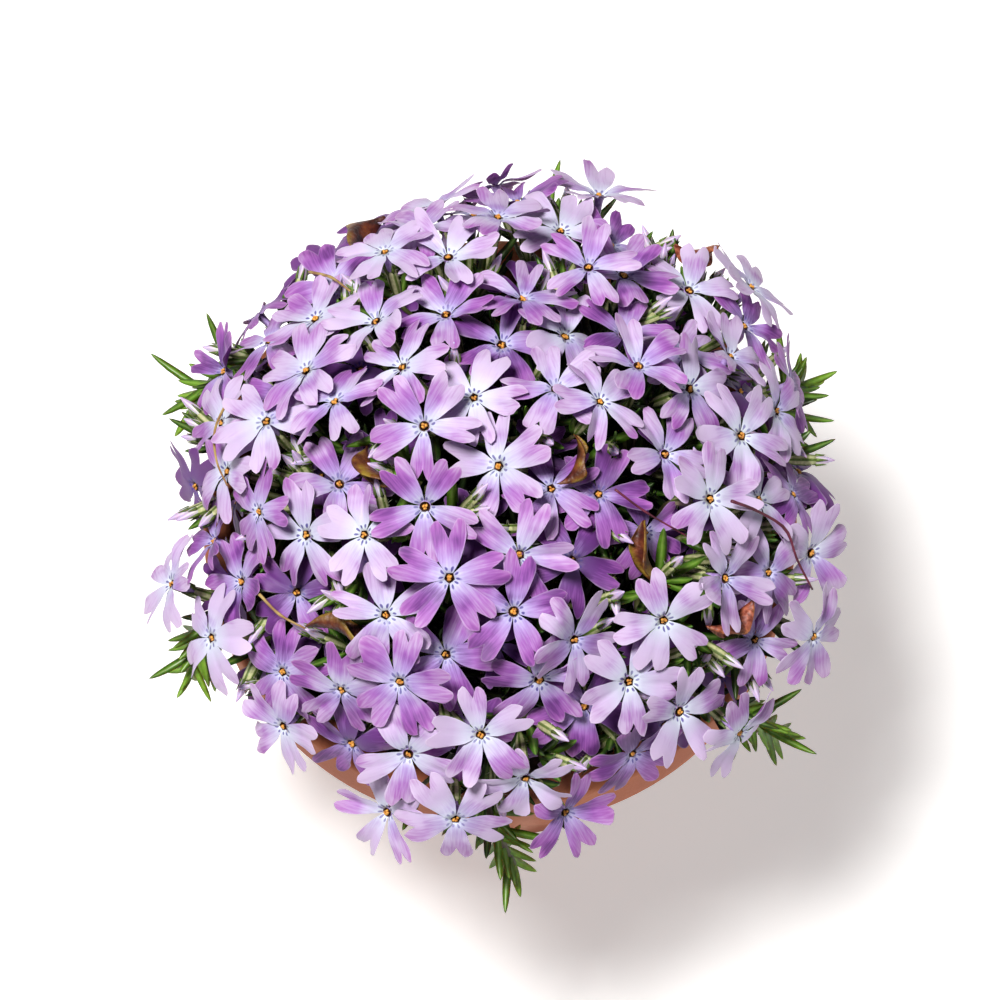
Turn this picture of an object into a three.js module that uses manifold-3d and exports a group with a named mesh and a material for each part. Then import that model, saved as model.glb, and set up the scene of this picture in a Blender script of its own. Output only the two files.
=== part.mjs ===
// A potted moss phlox in full flower: a round pot of soil, rooted shoots with awl-shaped leaves,
// hairy buds and calyces, and a low dome of five-petalled blooms with notched petals.
// Millimetres, +Z up, origin at the middle of the pot's foot.
import * as THREE from "three";
import { mergeVertices } from "three/addons/utils/BufferGeometryUtils.js";
import Module from "manifold-3d";

const wasm = await Module();
wasm.setup();

// Pot and soil
const POT_HEIGHT = 92;
const POT_RIM_RADIUS = 52.5;
const POT_RIM_BAND = 19;
const POT_RIM_OVERHANG = 3;
const POT_FOOT_RADIUS = 37;
const POT_WALL = 4.6;
const POT_FLOOR = 7;
const POT_SIDES = 32;
const DRAIN_RADIUS = 6;
const SOIL_LEVEL = POT_HEIGHT - 9;
const SOIL_CROWN = 3;
const SOIL_SIDES = 18;
const SOIL_RINGS = 3;
const STEM_HOLE_DEPTH = 7;

// Dome that the blooms lie in
const DOME_RADIUS = 59;
const DOME_CROWN = 139;
const DOME_EDGE = 105;
const DOME_POWER = 2.3;
const HUB_REACH = 60;

// Bloom, a flat limb on a narrow tube, at scale 1
const LIMB_RADIUS = 9.3;
const HUB_RADIUS = 1.5;
const PETAL_DEPTH = 0.65;
const TUBE_LENGTH = 5;
const TUBE_TOP_RADIUS = 1.15;
const THROAT_DEPTH = 1.3;
const CALYX_LENGTH = 6;

// Shoots
const BLOOM_COUNT = 104;
const CLUSTER_COUNT = 22;
const TRAILING_COUNT = 6;
const FORK_DEPTH = 17;
const ROOT_INSET = 0.86;
const STEM_RADIUS = 1.2;
const FORK_RADIUS = 1.7;
const STEM_SIDES = 4;
const STEM_STEPS = 4;
const TRAILING_STEPS = 7;
const TRAILING_ROOT_RADIUS = 41.5;
const STALK_FOOT_RADIUS = 0.5;
const STALK_TOP_RADIUS = 0.8;
const STALK_SIDES = 3;
const CALYX_RADIUS = 1.45;
const LEAF_LENGTH = 12;
const LEAF_WIDTH = 1.7;
const LEAF_THICKNESS = 0.75;
const CLUSTER_LEAF_SHARE = 0.74;
const TRAILING_LEAF_PAIRS = 4;
const BUD_LENGTH = 11;
const BUD_RADIUS = 1.6;

// Dry leaves caught in the dome: place from above and length
const FALLEN_LEAVES = [
  { x: -28.6, y: 44.5, length: 13 },
  { x: -23.5, y: -4, length: 14.5 },
  { x: 11.8, y: -7, length: 10 },
  { x: 26, y: -21, length: 13.5 },
  { x: 36, y: 41, length: 10 },
  { x: 37, y: -29, length: 10.5 },
  { x: -28.6, y: -29.5, length: 13 },
];
const FALLEN_ASPECT = 0.42;
const FALLEN_ATTEMPTS = 500;

// Search for room: how many places are tried, and among how many with room one is chosen
const BLOOM_ATTEMPTS = 500;
const BLOOM_CHOICES = 24;
const BUD_ATTEMPTS = 90;
const LEAF_ATTEMPTS = 30;
const SMALL_CHOICES = 8;
const LEAST_JOINT = 0.03;

// Room kept between two nodes
const SEAT_GAP = 0.3;
const CLEARANCE = 0.32;

// Edges shorter than this at the crossings of a node's pieces are drawn together
const CROSSING_DETAIL = 0.06;

const GOLDEN_ANGLE = Math.PI * (3 - Math.sqrt(5));
const QUARTER = Math.PI / 2;
const UP = new THREE.Vector3(0, 0, 1);

// Seeded draws
let drawState = 20417;
function draw(low = 0, high = 1) {
  drawState = (drawState + 0x6d2b79f5) | 0;
  let mixed = Math.imul(drawState ^ (drawState >>> 15), 1 | drawState);
  mixed = (mixed + Math.imul(mixed ^ (mixed >>> 7), 61 | mixed)) ^ mixed;
  const share = ((mixed ^ (mixed >>> 14)) >>> 0) / 4294967296;
  return low + (high - low) * share;
}

// Solids and meshes
function solidFrom(positions, triangles) {
  return new wasm.Manifold(
    new wasm.Mesh({
      numProp: 3,
      vertProperties: new Float32Array(positions),
      triVerts: new Uint32Array(triangles),
    }),
  );
}

function solidOfGeometry(geometry) {
  geometry.deleteAttribute("normal");
  geometry.deleteAttribute("uv");
  const merged = mergeVertices(geometry, 1e-4);
  return solidFrom(merged.getAttribute("position").array, merged.index.array);
}

function meshOf(name, solid, material) {
  const { vertProperties, triVerts } = solid.getMesh();
  const geometry = new THREE.BufferGeometry();
  geometry.setAttribute("position", new THREE.BufferAttribute(vertProperties, 3));
  geometry.setIndex(new THREE.BufferAttribute(triVerts, 1));
  geometry.computeVertexNormals();
  const mesh = new THREE.Mesh(geometry, material);
  mesh.name = name;
  return mesh;
}

// A closed skin over rings of points, each turning left-handed round the way ahead; one point is a tip
function loft(rings) {
  const positions = [];
  const triangles = [];
  const starts = rings.map((ring) => {
    const start = positions.length / 3;
    ring.forEach((point) => positions.push(point.x, point.y, point.z));
    return start;
  });
  for (let i = 0; i + 1 < rings.length; i++) {
    const [low, high] = [starts[i], starts[i + 1]];
    const [lowCount, highCount] = [rings[i].length, rings[i + 1].length];
    const sides = Math.max(lowCount, highCount);
    for (let k = 0; k < sides; k++) {
      const next = (k + 1) % sides;
      if (lowCount > 1) triangles.push(low + k, low + next, highCount > 1 ? high + next : high);
      if (highCount > 1) triangles.push(lowCount > 1 ? low + k : low, high + next, high + k);
    }
  }
  const last = rings.length - 1;
  for (let k = 1; k + 1 < rings[0].length; k++) {
    triangles.push(starts[0], starts[0] + k + 1, starts[0] + k);
  }
  for (let k = 1; k + 1 < rings[last].length; k++) {
    triangles.push(starts[last], starts[last] + k, starts[last] + k + 1);
  }
  return solidFrom(positions, triangles);
}

function acrossOf(direction, hint = UP) {
  const across = new THREE.Vector3().crossVectors(direction, hint);
  if (across.lengthSq() < 1e-4) across.crossVectors(direction, new THREE.Vector3(1, 0, 0));
  return across.normalize();
}

function ringAt(centre, direction, across, halfWidth, halfDepth, sides, turn = 0) {
  const rise = new THREE.Vector3().crossVectors(direction, across);
  return Array.from({ length: sides }, (_, k) => {
    const angle = turn + (k * 2 * Math.PI) / sides;
    return centre
      .clone()
      .addScaledVector(across, Math.cos(angle) * halfWidth)
      .addScaledVector(rise, Math.sin(angle) * halfDepth);
  });
}

// A round stalk along a curve, radiusAt giving its radius at each share of the length
function stalk(curve, radiusAt, sides, steps, tipped = false) {
  const rings = [];
  const across = acrossOf(curve.getTangent(0));
  for (let i = 0; i <= steps; i++) {
    const share = i / steps;
    const direction = curve.getTangent(share);
    across.addScaledVector(direction, -across.dot(direction)).normalize();
    const centre = curve.getPoint(share);
    rings.push(
      tipped && i === steps
        ? [centre]
        : ringAt(centre, direction, across.clone(), radiusAt(share), radiusAt(share), sides),
    );
  }
  return loft(rings);
}

// Pot: a rim band over a tapered body, open at the top, with one drain hole
function potSolid() {
  const bodyTop = POT_HEIGHT - POT_RIM_BAND;
  const outerAt = (z) =>
    POT_FOOT_RADIUS + ((POT_RIM_RADIUS - POT_RIM_OVERHANG - POT_FOOT_RADIUS) * z) / POT_HEIGHT;
  const profile = [
    [DRAIN_RADIUS, 0],
    [POT_FOOT_RADIUS - 1.5, 0],
    [POT_FOOT_RADIUS, 1.5],
    [outerAt(bodyTop), bodyTop],
    [POT_RIM_RADIUS - 1, bodyTop + 1],
    [POT_RIM_RADIUS, POT_HEIGHT - 2.5],
    [POT_RIM_RADIUS - 1.6, POT_HEIGHT],
    [POT_RIM_RADIUS - POT_WALL, POT_HEIGHT],
    [POT_RIM_RADIUS - POT_WALL - 1.6, POT_HEIGHT - 2],
    [innerRadiusAt(POT_FLOOR), POT_FLOOR],
    [DRAIN_RADIUS, POT_FLOOR],
    [DRAIN_RADIUS, 0],
  ].map(([radius, z]) => new THREE.Vector2(radius, z));
  return solidOfGeometry(new THREE.LatheGeometry(profile, POT_SIDES).rotateX(Math.PI / 2));
}

function innerRadiusAt(z) {
  const top = POT_RIM_RADIUS - POT_WALL - 1.6;
  const foot = POT_FOOT_RADIUS - POT_WALL;
  return foot + ((top - foot) * (z - POT_FLOOR)) / (POT_HEIGHT - 2 - POT_FLOOR);
}

function soilHeight(x, y) {
  const share = Math.hypot(x, y) / innerRadiusAt(SOIL_LEVEL);
  const lumps = Math.sin(x * 0.31 + 1.3) * Math.cos(y * 0.27 - 0.6) + Math.sin(x * 0.11 - y * 0.17);
  return SOIL_LEVEL + SOIL_CROWN * (1 - share * share) + 0.9 * lumps * (1 - share ** 4);
}

function soilSolid(holes) {
  const inside = (z) => innerRadiusAt(z) - 0.8;
  const foot = POT_FLOOR + SEAT_GAP;
  const profile = [
    [0, foot],
    [inside(foot), foot],
  ];
  for (let ring = 0; ring <= SOIL_RINGS; ring++) {
    profile.push([inside(SOIL_LEVEL) * (1 - ring / SOIL_RINGS), SOIL_LEVEL]);
  }
  const geometry = new THREE.LatheGeometry(
    profile.map(([radius, z]) => new THREE.Vector2(radius, z)),
    SOIL_SIDES,
  ).rotateX(Math.PI / 2);
  const position = geometry.getAttribute("position");
  for (let i = 0; i < position.count; i++) {
    const [x, y] = [position.getX(i), position.getY(i)];
    if (position.getZ(i) > SOIL_LEVEL - 1) position.setZ(i, soilHeight(x, y));
  }
  return holes.reduce((soil, hole) => soil.subtract(hole), solidOfGeometry(geometry));
}

// Bloom: five wedge-shaped petals with two round lobes and a notch, on a tube below the throat
function corollaSolid({ cup, notch, breadth }) {
  const positions = [];
  const triangles = [];
  const point = (radius, angle, z) => {
    positions.push(radius * Math.cos(angle), radius * Math.sin(angle), z);
    return positions.length / 3 - 1;
  };
  const rise = (radius) => (radius - HUB_RADIUS) * Math.tan(THREE.MathUtils.degToRad(cup));
  const between = (k) => ((k - 0.5) * 2 * Math.PI) / 5;
  const fives = (radius, z) => [0, 1, 2, 3, 4].map((k) => point(radius, between(k), z));
  const throat = point(0, 0, -THROAT_DEPTH);
  const top = fives(HUB_RADIUS, 0);
  const under = fives(TUBE_TOP_RADIUS, -PETAL_DEPTH);
  const foot = point(0, 0, -TUBE_LENGTH);
  for (let k = 0; k < 5; k++) {
    const next = (k + 1) % 5;
    const angle = (k * 2 * Math.PI) / 5;
    const onPetal = (along, aside, drop) => {
      const [a, b] = [along * LIMB_RADIUS, aside * breadth * LIMB_RADIUS];
      return point(Math.hypot(a, b), angle + Math.atan2(b, a), rise(a) - drop);
    };
    const sideA = onPetal(0.7, -0.37, 0);
    const lobeA = onPetal(0.97, -0.23, 0.25);
    const dip = onPetal(notch, 0, 0);
    const lobeB = onPetal(0.97, 0.23, 0.25);
    const sideB = onPetal(0.7, 0.37, 0);
    const keel = onPetal(0.58, 0, PETAL_DEPTH);
    triangles.push(top[k], sideA, lobeA, top[k], lobeA, dip, top[k], dip, top[next]);
    triangles.push(top[next], dip, lobeB, top[next], lobeB, sideB);
    const rim = [under[k], sideA, lobeA, dip, lobeB, sideB, under[next]];
    rim.forEach((corner, i) => triangles.push(keel, rim[(i + 1) % rim.length], corner));
    triangles.push(under[k], sideA, top[k], top[next], sideB, under[next]);
    triangles.push(top[k], top[next], throat, foot, under[next], under[k]);
  }
  return solidFrom(positions, triangles);
}

const COROLLAS = [
  { cup: 3, notch: 0.76, breadth: 1 },
  { cup: 14, notch: 0.8, breadth: 0.92 },
  { cup: -6, notch: 0.72, breadth: 1.04 },
].map((shape) => ({ ...shape, solid: corollaSolid(shape) }));

// Places on the dome, spread by the golden angle
function onDome(share, angle) {
  const radius = DOME_RADIUS * share;
  const height = DOME_EDGE + (DOME_CROWN - DOME_EDGE) * (1 - share ** DOME_POWER);
  const slope = ((DOME_CROWN - DOME_EDGE) * DOME_POWER * share ** (DOME_POWER - 1)) / DOME_RADIUS;
  const outward = new THREE.Vector3(Math.cos(angle), Math.sin(angle), 0);
  const point = outward.clone().multiplyScalar(radius).setZ(height);
  const normal = outward.multiplyScalar(slope).add(UP).normalize();
  return { point, normal };
}

function spreadOverDome(count, reach, phase, wobble) {
  return Array.from({ length: count }, (_, i) => {
    const share = reach * ((i + 0.5) / count) ** 0.47;
    return onDome(share + draw(-wobble, wobble), phase + i * GOLDEN_ANGLE + draw(-wobble, wobble));
  });
}

// What has been placed, and the room test that every new piece passes
const KEPT_FREE = "kept free";
let placed = [];

function boxesApart(a, b) {
  return [0, 1, 2].some((k) => a.min[k] > b.max[k] + CLEARANCE || b.min[k] > a.max[k] + CLEARANCE);
}

function hasRoom(solid, node) {
  const box = solid.boundingBox();
  return placed.every(
    (other) =>
      other.node === node ||
      boxesApart(box, other.box) ||
      solid.minGap(other.solid, 2 * CLEARANCE) >= CLEARANCE,
  );
}

function place(solid, node) {
  placed.push({ solid, node, box: solid.boundingBox() });
}

function partsOf(node) {
  return placed.filter((item) => item.node === node).map((item) => item.solid);
}

function tilted(direction, degrees) {
  const lean = THREE.MathUtils.degToRad(degrees);
  const turn = draw(0, 2 * Math.PI);
  const across = acrossOf(direction).applyAxisAngle(direction, turn);
  return direction.clone().applyAxisAngle(across, lean).normalize();
}

// A cluster: a stem from the soil to a fork below the dome
function clusterAt(site, index) {
  const name = String(index + 1).padStart(2, "0");
  const fork = site.point.clone().addScaledVector(site.normal, -FORK_DEPTH);
  const root = new THREE.Vector3(fork.x, fork.y, 0).multiplyScalar(ROOT_INSET);
  root.z = soilHeight(root.x, root.y);
  const sunk = root.clone().addScaledVector(UP, -STEM_HOLE_DEPTH + SEAT_GAP);
  const climb = fork.z - root.z;
  const path = new THREE.CubicBezierCurve3(
    sunk,
    root.clone().addScaledVector(UP, climb * 0.35),
    fork.clone().addScaledVector(site.normal, -climb * 0.3),
    fork.clone().addScaledVector(site.normal, 0.8),
  );
  return { shoot: `shoot_${name}`, blooms: `blooms_${name}`, site, fork, root, path };
}

function stemRadiusAt(share) {
  return STEM_RADIUS * (1.1 - 0.2 * share) + (FORK_RADIUS - STEM_RADIUS) * share ** 6;
}

// The hole that a stem stands in follows the stem until it is clear of the soil
function stemHole({ root, path }) {
  let share = 0;
  while (path.getPoint(share).z < root.z + 4) share += 0.01;
  const low = path.getPoint(0).addScaledVector(UP, -SEAT_GAP);
  const high = path.getPoint(share);
  const radius = STEM_RADIUS * 1.1 + 2.8 * SEAT_GAP;
  const across = acrossOf(path.getTangent(0));
  return loft([low, high].map((centre) => ringAt(centre, UP, across, radius, radius, STEM_SIDES)));
}

// Where a stalk leaves the swollen end of its stem, on the side that it goes to
function stalkStart(cluster, target) {
  const { fork, site } = cluster;
  const aside = target.clone().sub(fork).projectOnPlane(site.normal);
  aside.setLength(Math.min(FORK_RADIUS * 0.6, aside.length() * 0.12));
  return fork.clone().add(aside);
}

function stalkRing(centre, direction, across, radius) {
  return ringAt(centre, direction, across, radius, radius, STALK_SIDES);
}

// Calyx and its stalk, from the stem to the foot of a bloom's tube
function calyxSolid(cluster, hub, facing, scale) {
  const seat = hub.clone().addScaledVector(facing, -scale * TUBE_LENGTH - SEAT_GAP);
  const base = seat.clone().addScaledVector(facing, -scale * CALYX_LENGTH);
  const start = stalkStart(cluster, base);
  const lead = base.clone().sub(start).normalize();
  const across = acrossOf(facing, lead.clone().add(UP));
  return loft([
    stalkRing(start, lead, across, STALK_FOOT_RADIUS),
    stalkRing(base, lead.clone().add(facing).normalize(), across, STALK_TOP_RADIUS),
    stalkRing(seat, facing, across, CALYX_RADIUS),
  ]);
}

// A bloom and its calyx near a site; later attempts stray and lean further
function bloomCandidate(site, cluster, attempt) {
  const spread = Math.min(1, attempt / 120);
  const lift = draw(-2 - 5 * spread, 2 + 3.5 * spread);
  const hub = site.point.clone().addScaledVector(site.normal, lift);
  const stray = 0.6 + 2.2 * spread;
  hub.add(new THREE.Vector3(draw(-stray, stray), draw(-stray, stray), 0));
  const overhang = Math.hypot(hub.x, hub.y) / HUB_REACH;
  if (overhang > 1) hub.set(hub.x / overhang, hub.y / overhang, hub.z);
  const lead = hub.clone().sub(cluster.fork).normalize();
  const facing = tilted(lead.lerp(site.normal, 0.6).normalize(), draw(0, 16 + 8 * spread));
  const scale = draw(0.9, 1.07);
  const variety = COROLLAS[Math.floor(draw(0, COROLLAS.length))];
  const turn = new THREE.Quaternion().setFromUnitVectors(UP, facing);
  const spin = new THREE.Quaternion().setFromAxisAngle(UP, draw(0, 2 * Math.PI));
  const size = new THREE.Vector3(scale, scale, scale);
  const frame = new THREE.Matrix4().compose(hub, turn.multiply(spin), size);
  const corolla = variety.solid.transform(frame.elements);
  const calyx = calyxSolid(cluster, hub, facing, scale);
  return [
    { solid: calyx, node: cluster.shoot },
    { solid: corolla, node: cluster.blooms },
  ];
}

// How many faces a solid and the crossings with its own node's pieces come to
function crossingCost(solid, node) {
  const joined = wasm.Manifold.union([solid, ...partsOf(node)]);
  const count = joined.numTri();
  joined.delete();
  return count;
}

// Of the first few candidates with room, places the one that crosses its own node least.
// A candidate is a list of { solid, node }.
function placeSimplest(makeCandidate, fits, attempts, choices) {
  let best = null;
  for (let attempt = 0, found = 0; attempt < attempts && found < choices; attempt++) {
    const pieces = makeCandidate(attempt);
    if (fits(pieces) && pieces.every(({ solid, node }) => hasRoom(solid, node))) {
      found++;
      const cost = pieces.reduce((sum, { solid, node }) => sum + crossingCost(solid, node), 0);
      if (!best || cost < best.cost) {
        best = { pieces, cost };
        continue;
      }
    }
    pieces.forEach(({ solid }) => solid.delete());
  }
  best?.pieces.forEach(({ solid, node }) => place(solid, node));
}

// A bloom is sunk in one of its own cluster's blooms, so that they hold together
function placeBloom(site, cluster) {
  const own = partsOf(cluster.blooms);
  const sunk = ([, { solid }]) =>
    own.length === 0 || own.some((other) => solid.intersect(other).volume() > LEAST_JOINT);
  const candidate = (attempt) => bloomCandidate(site, cluster, attempt);
  placeSimplest(candidate, sunk, BLOOM_ATTEMPTS, BLOOM_CHOICES);
}

// Awl-shaped leaf: three-sided, widest a third of the way out, curving up to its tip
function leafSolid(base, direction, length, width) {
  const across = acrossOf(direction);
  const bend = base.clone().addScaledVector(direction, length * 0.36);
  const tip = base.clone().addScaledVector(direction, length).addScaledVector(UP, length * 0.1);
  const ahead = tip.clone().sub(base).normalize();
  const turn = Math.PI / 6;
  return loft([
    ringAt(base, direction, across, width * 0.36, LEAF_THICKNESS * 0.6, 3, turn),
    ringAt(bend, ahead, across, width * 0.58, LEAF_THICKNESS * 0.67, 3, turn),
    [tip],
  ]);
}

function placeLeaf(node, curve, share, spin) {
  const candidate = () => {
    const at = share + draw(-0.04, 0.04);
    const stemWay = curve.getTangent(at);
    const across = acrossOf(stemWay).applyAxisAngle(stemWay, spin + draw(-0.3, 0.3));
    const direction = stemWay.clone().lerp(across, draw(0.5, 0.8)).normalize();
    const length = LEAF_LENGTH * draw(0.75, 1.15);
    return [{ solid: leafSolid(curve.getPoint(at), direction, length, LEAF_WIDTH), node }];
  };
  placeSimplest(candidate, () => true, LEAF_ATTEMPTS, SMALL_CHOICES);
}

function placeLeafPair(node, curve, share, spin) {
  placeLeaf(node, curve, share, spin);
  placeLeaf(node, curve, share, spin + 2 * QUARTER);
}

// Tightly furled bud in its calyx, on a short stalk
function placeBud(cluster) {
  const candidate = () => {
    const way = tilted(cluster.site.normal, draw(10, 48));
    const across = acrossOf(way);
    const length = BUD_LENGTH * draw(0.85, 1.1);
    const reach = FORK_DEPTH - length + draw(-3, 5);
    const start = stalkStart(cluster, cluster.fork.clone().addScaledVector(way, reach));
    const along = (distance) => start.clone().addScaledVector(way, distance);
    const bud = loft([
      stalkRing(along(0), way, across, STALK_FOOT_RADIUS),
      stalkRing(along(reach), way, across, STALK_TOP_RADIUS),
      stalkRing(along(reach + length / 2), way, across, BUD_RADIUS),
      [along(reach + length)],
    ]);
    return [{ solid: bud, node: cluster.shoot }];
  };
  placeSimplest(candidate, () => true, BUD_ATTEMPTS, SMALL_CHOICES);
}

// Leafy shoot without blooms, from the soil over the rim and down outside it
function trailingShoot(index) {
  const angle = index * ((2 * Math.PI) / TRAILING_COUNT) + draw(-0.2, 0.2) + 0.35;
  const at = (radius, z, swing = 0) =>
    new THREE.Vector3(radius * Math.cos(angle + swing), radius * Math.sin(angle + swing), z);
  const root = at(TRAILING_ROOT_RADIUS, 0);
  root.z = soilHeight(root.x, root.y);
  const path = new THREE.CatmullRomCurve3([
    root.clone().addScaledVector(UP, -STEM_HOLE_DEPTH + SEAT_GAP),
    at(TRAILING_ROOT_RADIUS + 0.4, root.z + 4),
    at(POT_RIM_RADIUS - 4.5, POT_HEIGHT + 3.2, 0.04),
    at(POT_RIM_RADIUS + 3.5, POT_HEIGHT + 0.5, 0.1),
    at(POT_RIM_RADIUS + 8, POT_HEIGHT - 9 + draw(-3, 3), 0.16),
  ]);
  return { shoot: `trailing_shoot_${index + 1}`, root, path };
}

// Dry leaf of a tree, curled into a trough, caught among the blooms
function fallenLeafSolid(length) {
  const [width, curl, arch] = [length * FALLEN_ASPECT, 1.2, 1.5];
  const stations = 5;
  const half = 0.5;
  const rings = Array.from({ length: stations }, (_, i) => {
    const share = i / (stations - 1);
    const swing = (share - 0.5) * arch;
    const bow = new THREE.Vector3(
      Math.sin(swing) * (length / arch),
      0,
      (Math.cos(swing) - 1) * (length / arch),
    );
    const breadth = (width / 2) * Math.sqrt(Math.max(0.08, Math.sin(Math.PI * share))) + 0.3;
    const ring = [-1, 0, 1].map((side) => ({ side, lift: half }));
    ring.push(...[1, 0, -1].map((side) => ({ side, lift: -half })));
    return ring
      .map(({ side, lift }) => {
        const across = (side * breadth) / (1 + curl * 0.35);
        return new THREE.Vector3(0, -across, Math.abs(side) * curl * breadth * 0.5 + lift).add(bow);
      });
  });
  return loft(rings);
}

function fallenSite({ x, y }) {
  return onDome(Math.hypot(x, y) / DOME_RADIUS, Math.atan2(y, x));
}

// Room kept free of blooms for a dry leaf
function fallenRoom(leaf) {
  const { point, normal } = fallenSite(leaf);
  const turn = new THREE.Quaternion().setFromUnitVectors(UP, normal);
  const size = new THREE.Vector3(0.42, 0.42, 0.3).multiplyScalar(leaf.length);
  const centre = point.addScaledVector(normal, -1.5);
  const frame = new THREE.Matrix4().compose(centre, turn, size);
  return solidOfGeometry(new THREE.SphereGeometry(1, 12, 8)).transform(frame.elements);
}

// A dry leaf takes the place in its room where it lies against the most neighbours
function placeFallenLeaf(leaf, node) {
  const { point, normal } = fallenSite(leaf);
  const form = fallenLeafSolid(leaf.length);
  const touchesOf = (solid) =>
    placed.filter(
      ({ solid: other, box }) =>
        !boxesApart(solid.boundingBox(), box) && solid.minGap(other, 1) < 0.8,
    ).length;
  let best = null;
  for (let attempt = 0; attempt < FALLEN_ATTEMPTS; attempt++) {
    const turn = new THREE.Quaternion().setFromUnitVectors(UP, tilted(normal, draw(0, 30)));
    turn.multiply(new THREE.Quaternion().setFromAxisAngle(UP, draw(0, 2 * Math.PI)));
    const centre = point.clone().addScaledVector(normal, draw(-6, 1));
    centre.add(new THREE.Vector3(draw(-3, 3), draw(-3, 3), 0));
    const frame = new THREE.Matrix4().compose(centre, turn, new THREE.Vector3(1, 1, 1));
    const solid = form.transform(frame.elements);
    const touches = hasRoom(solid, node) ? touchesOf(solid) : 0;
    if (touches > (best?.touches ?? 0)) best = { solid, touches };
    else solid.delete();
  }
  if (best) place(best.solid, node);
  return best !== null;
}

// Everything in order: what stands first leaves its room to what comes later
const pot = potSolid();
place(pot, "pot");

const clusters = spreadOverDome(CLUSTER_COUNT, 0.94, 0.6, 0.02).map(clusterAt);
for (const cluster of clusters) {
  place(stalk(cluster.path, stemRadiusAt, STEM_SIDES, STEM_STEPS), cluster.shoot);
}
const trailing = Array.from({ length: TRAILING_COUNT }, (_, i) => trailingShoot(i));
for (const { shoot, path } of trailing) {
  const radiusAt = (share) => STEM_RADIUS * (1.1 - 0.45 * share);
  place(stalk(path, radiusAt, STEM_SIDES, TRAILING_STEPS, true), shoot);
}
const soil = soilSolid([...clusters, ...trailing].map(stemHole));
place(soil, "soil");
FALLEN_LEAVES.forEach((leaf) => place(fallenRoom(leaf), KEPT_FREE));

const nearestCluster = (point) =>
  clusters.reduce((best, cluster) =>
    cluster.site.point.distanceTo(point) < best.site.point.distanceTo(point) ? cluster : best,
  );
const sites = spreadOverDome(BLOOM_COUNT, 1.04, 2.2, 0.015).map((site) => ({
  ...site,
  cluster: nearestCluster(site.point),
}));
for (const cluster of clusters) {
  const own = sites.filter((site) => site.cluster === cluster);
  const away = (site) => site.point.distanceTo(cluster.site.point);
  own.sort((a, b) => away(a) - away(b));
  for (const site of own) placeBloom(site, cluster);
}
clusters.forEach(placeBud);
placed = placed.filter(({ node }) => node !== KEPT_FREE);
const fallen = FALLEN_LEAVES.map((leaf, i) => ({ leaf, node: `fallen_leaf_${i + 1}` })).filter(
  ({ leaf, node }) => placeFallenLeaf(leaf, node),
);
for (const { shoot, path } of clusters) {
  placeLeafPair(shoot, path, CLUSTER_LEAF_SHARE, QUARTER / 2);
}
for (const { shoot, path } of trailing) {
  for (let pair = 0; pair < TRAILING_LEAF_PAIRS; pair++) {
    placeLeafPair(shoot, path, 0.5 + pair * 0.13, (pair + 0.5) * QUARTER);
  }
}

const finish = (color, roughness) =>
  new THREE.MeshStandardMaterial({ color, roughness, metalness: 0 });
const TERRACOTTA = finish(0xb9633c, 0.85);
const SOIL = finish(0x2e2119, 0.95);
const FOLIAGE = finish(0x5b7a2b, 0.6);
const PETAL = finish(0xc9a2e2, 0.5);
const DRY_LEAF = finish(0x7a3d1c, 0.7);

const joined = (node) => wasm.Manifold.union(partsOf(node)).simplify(CROSSING_DETAIL);

const plant = new THREE.Group();
plant.add(meshOf("pot", pot, TERRACOTTA), meshOf("soil", soil, SOIL));
for (const { shoot } of [...clusters, ...trailing]) {
  plant.add(meshOf(shoot, joined(shoot), FOLIAGE));
}
for (const { blooms } of clusters) {
  plant.add(meshOf(blooms, joined(blooms), PETAL));
}
for (const { node } of fallen) plant.add(meshOf(node, partsOf(node)[0], DRY_LEAF));

export default plant;
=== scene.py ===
"""A potted moss phlox in full flower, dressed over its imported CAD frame.

The CAD holds where every bloom, calyx, bud, leaf and stem is. This script reads those places back
from the frame and grows the fine forms there: notched petals round a dark-dashed eye, hairy ribbed
calyces, furled buds, awl-shaped leaves, curled dry leaves, soil and a clay pot. Lengths are in
millimetres, angles in radians, until a finished piece is written out in metres.
"""

import math

import bpy
import numpy as np
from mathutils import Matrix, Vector


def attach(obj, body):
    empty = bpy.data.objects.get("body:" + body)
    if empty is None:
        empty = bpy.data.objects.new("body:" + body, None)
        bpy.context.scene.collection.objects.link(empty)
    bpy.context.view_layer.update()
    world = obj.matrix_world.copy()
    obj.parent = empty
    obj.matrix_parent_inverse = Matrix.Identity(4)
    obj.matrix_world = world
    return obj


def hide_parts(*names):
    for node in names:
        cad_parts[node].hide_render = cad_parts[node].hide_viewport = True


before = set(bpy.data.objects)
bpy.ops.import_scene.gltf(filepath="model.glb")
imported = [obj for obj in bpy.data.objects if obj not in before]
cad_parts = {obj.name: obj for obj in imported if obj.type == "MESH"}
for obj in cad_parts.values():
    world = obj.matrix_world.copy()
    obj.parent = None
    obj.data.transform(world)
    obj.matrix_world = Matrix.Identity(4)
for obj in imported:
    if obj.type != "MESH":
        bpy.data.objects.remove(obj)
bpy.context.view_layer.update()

MM = 0.001
UP = np.array([0.0, 0.0, 1.0])
FULL_TURN = 2 * math.pi
FIFTH = FULL_TURN / 5

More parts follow.
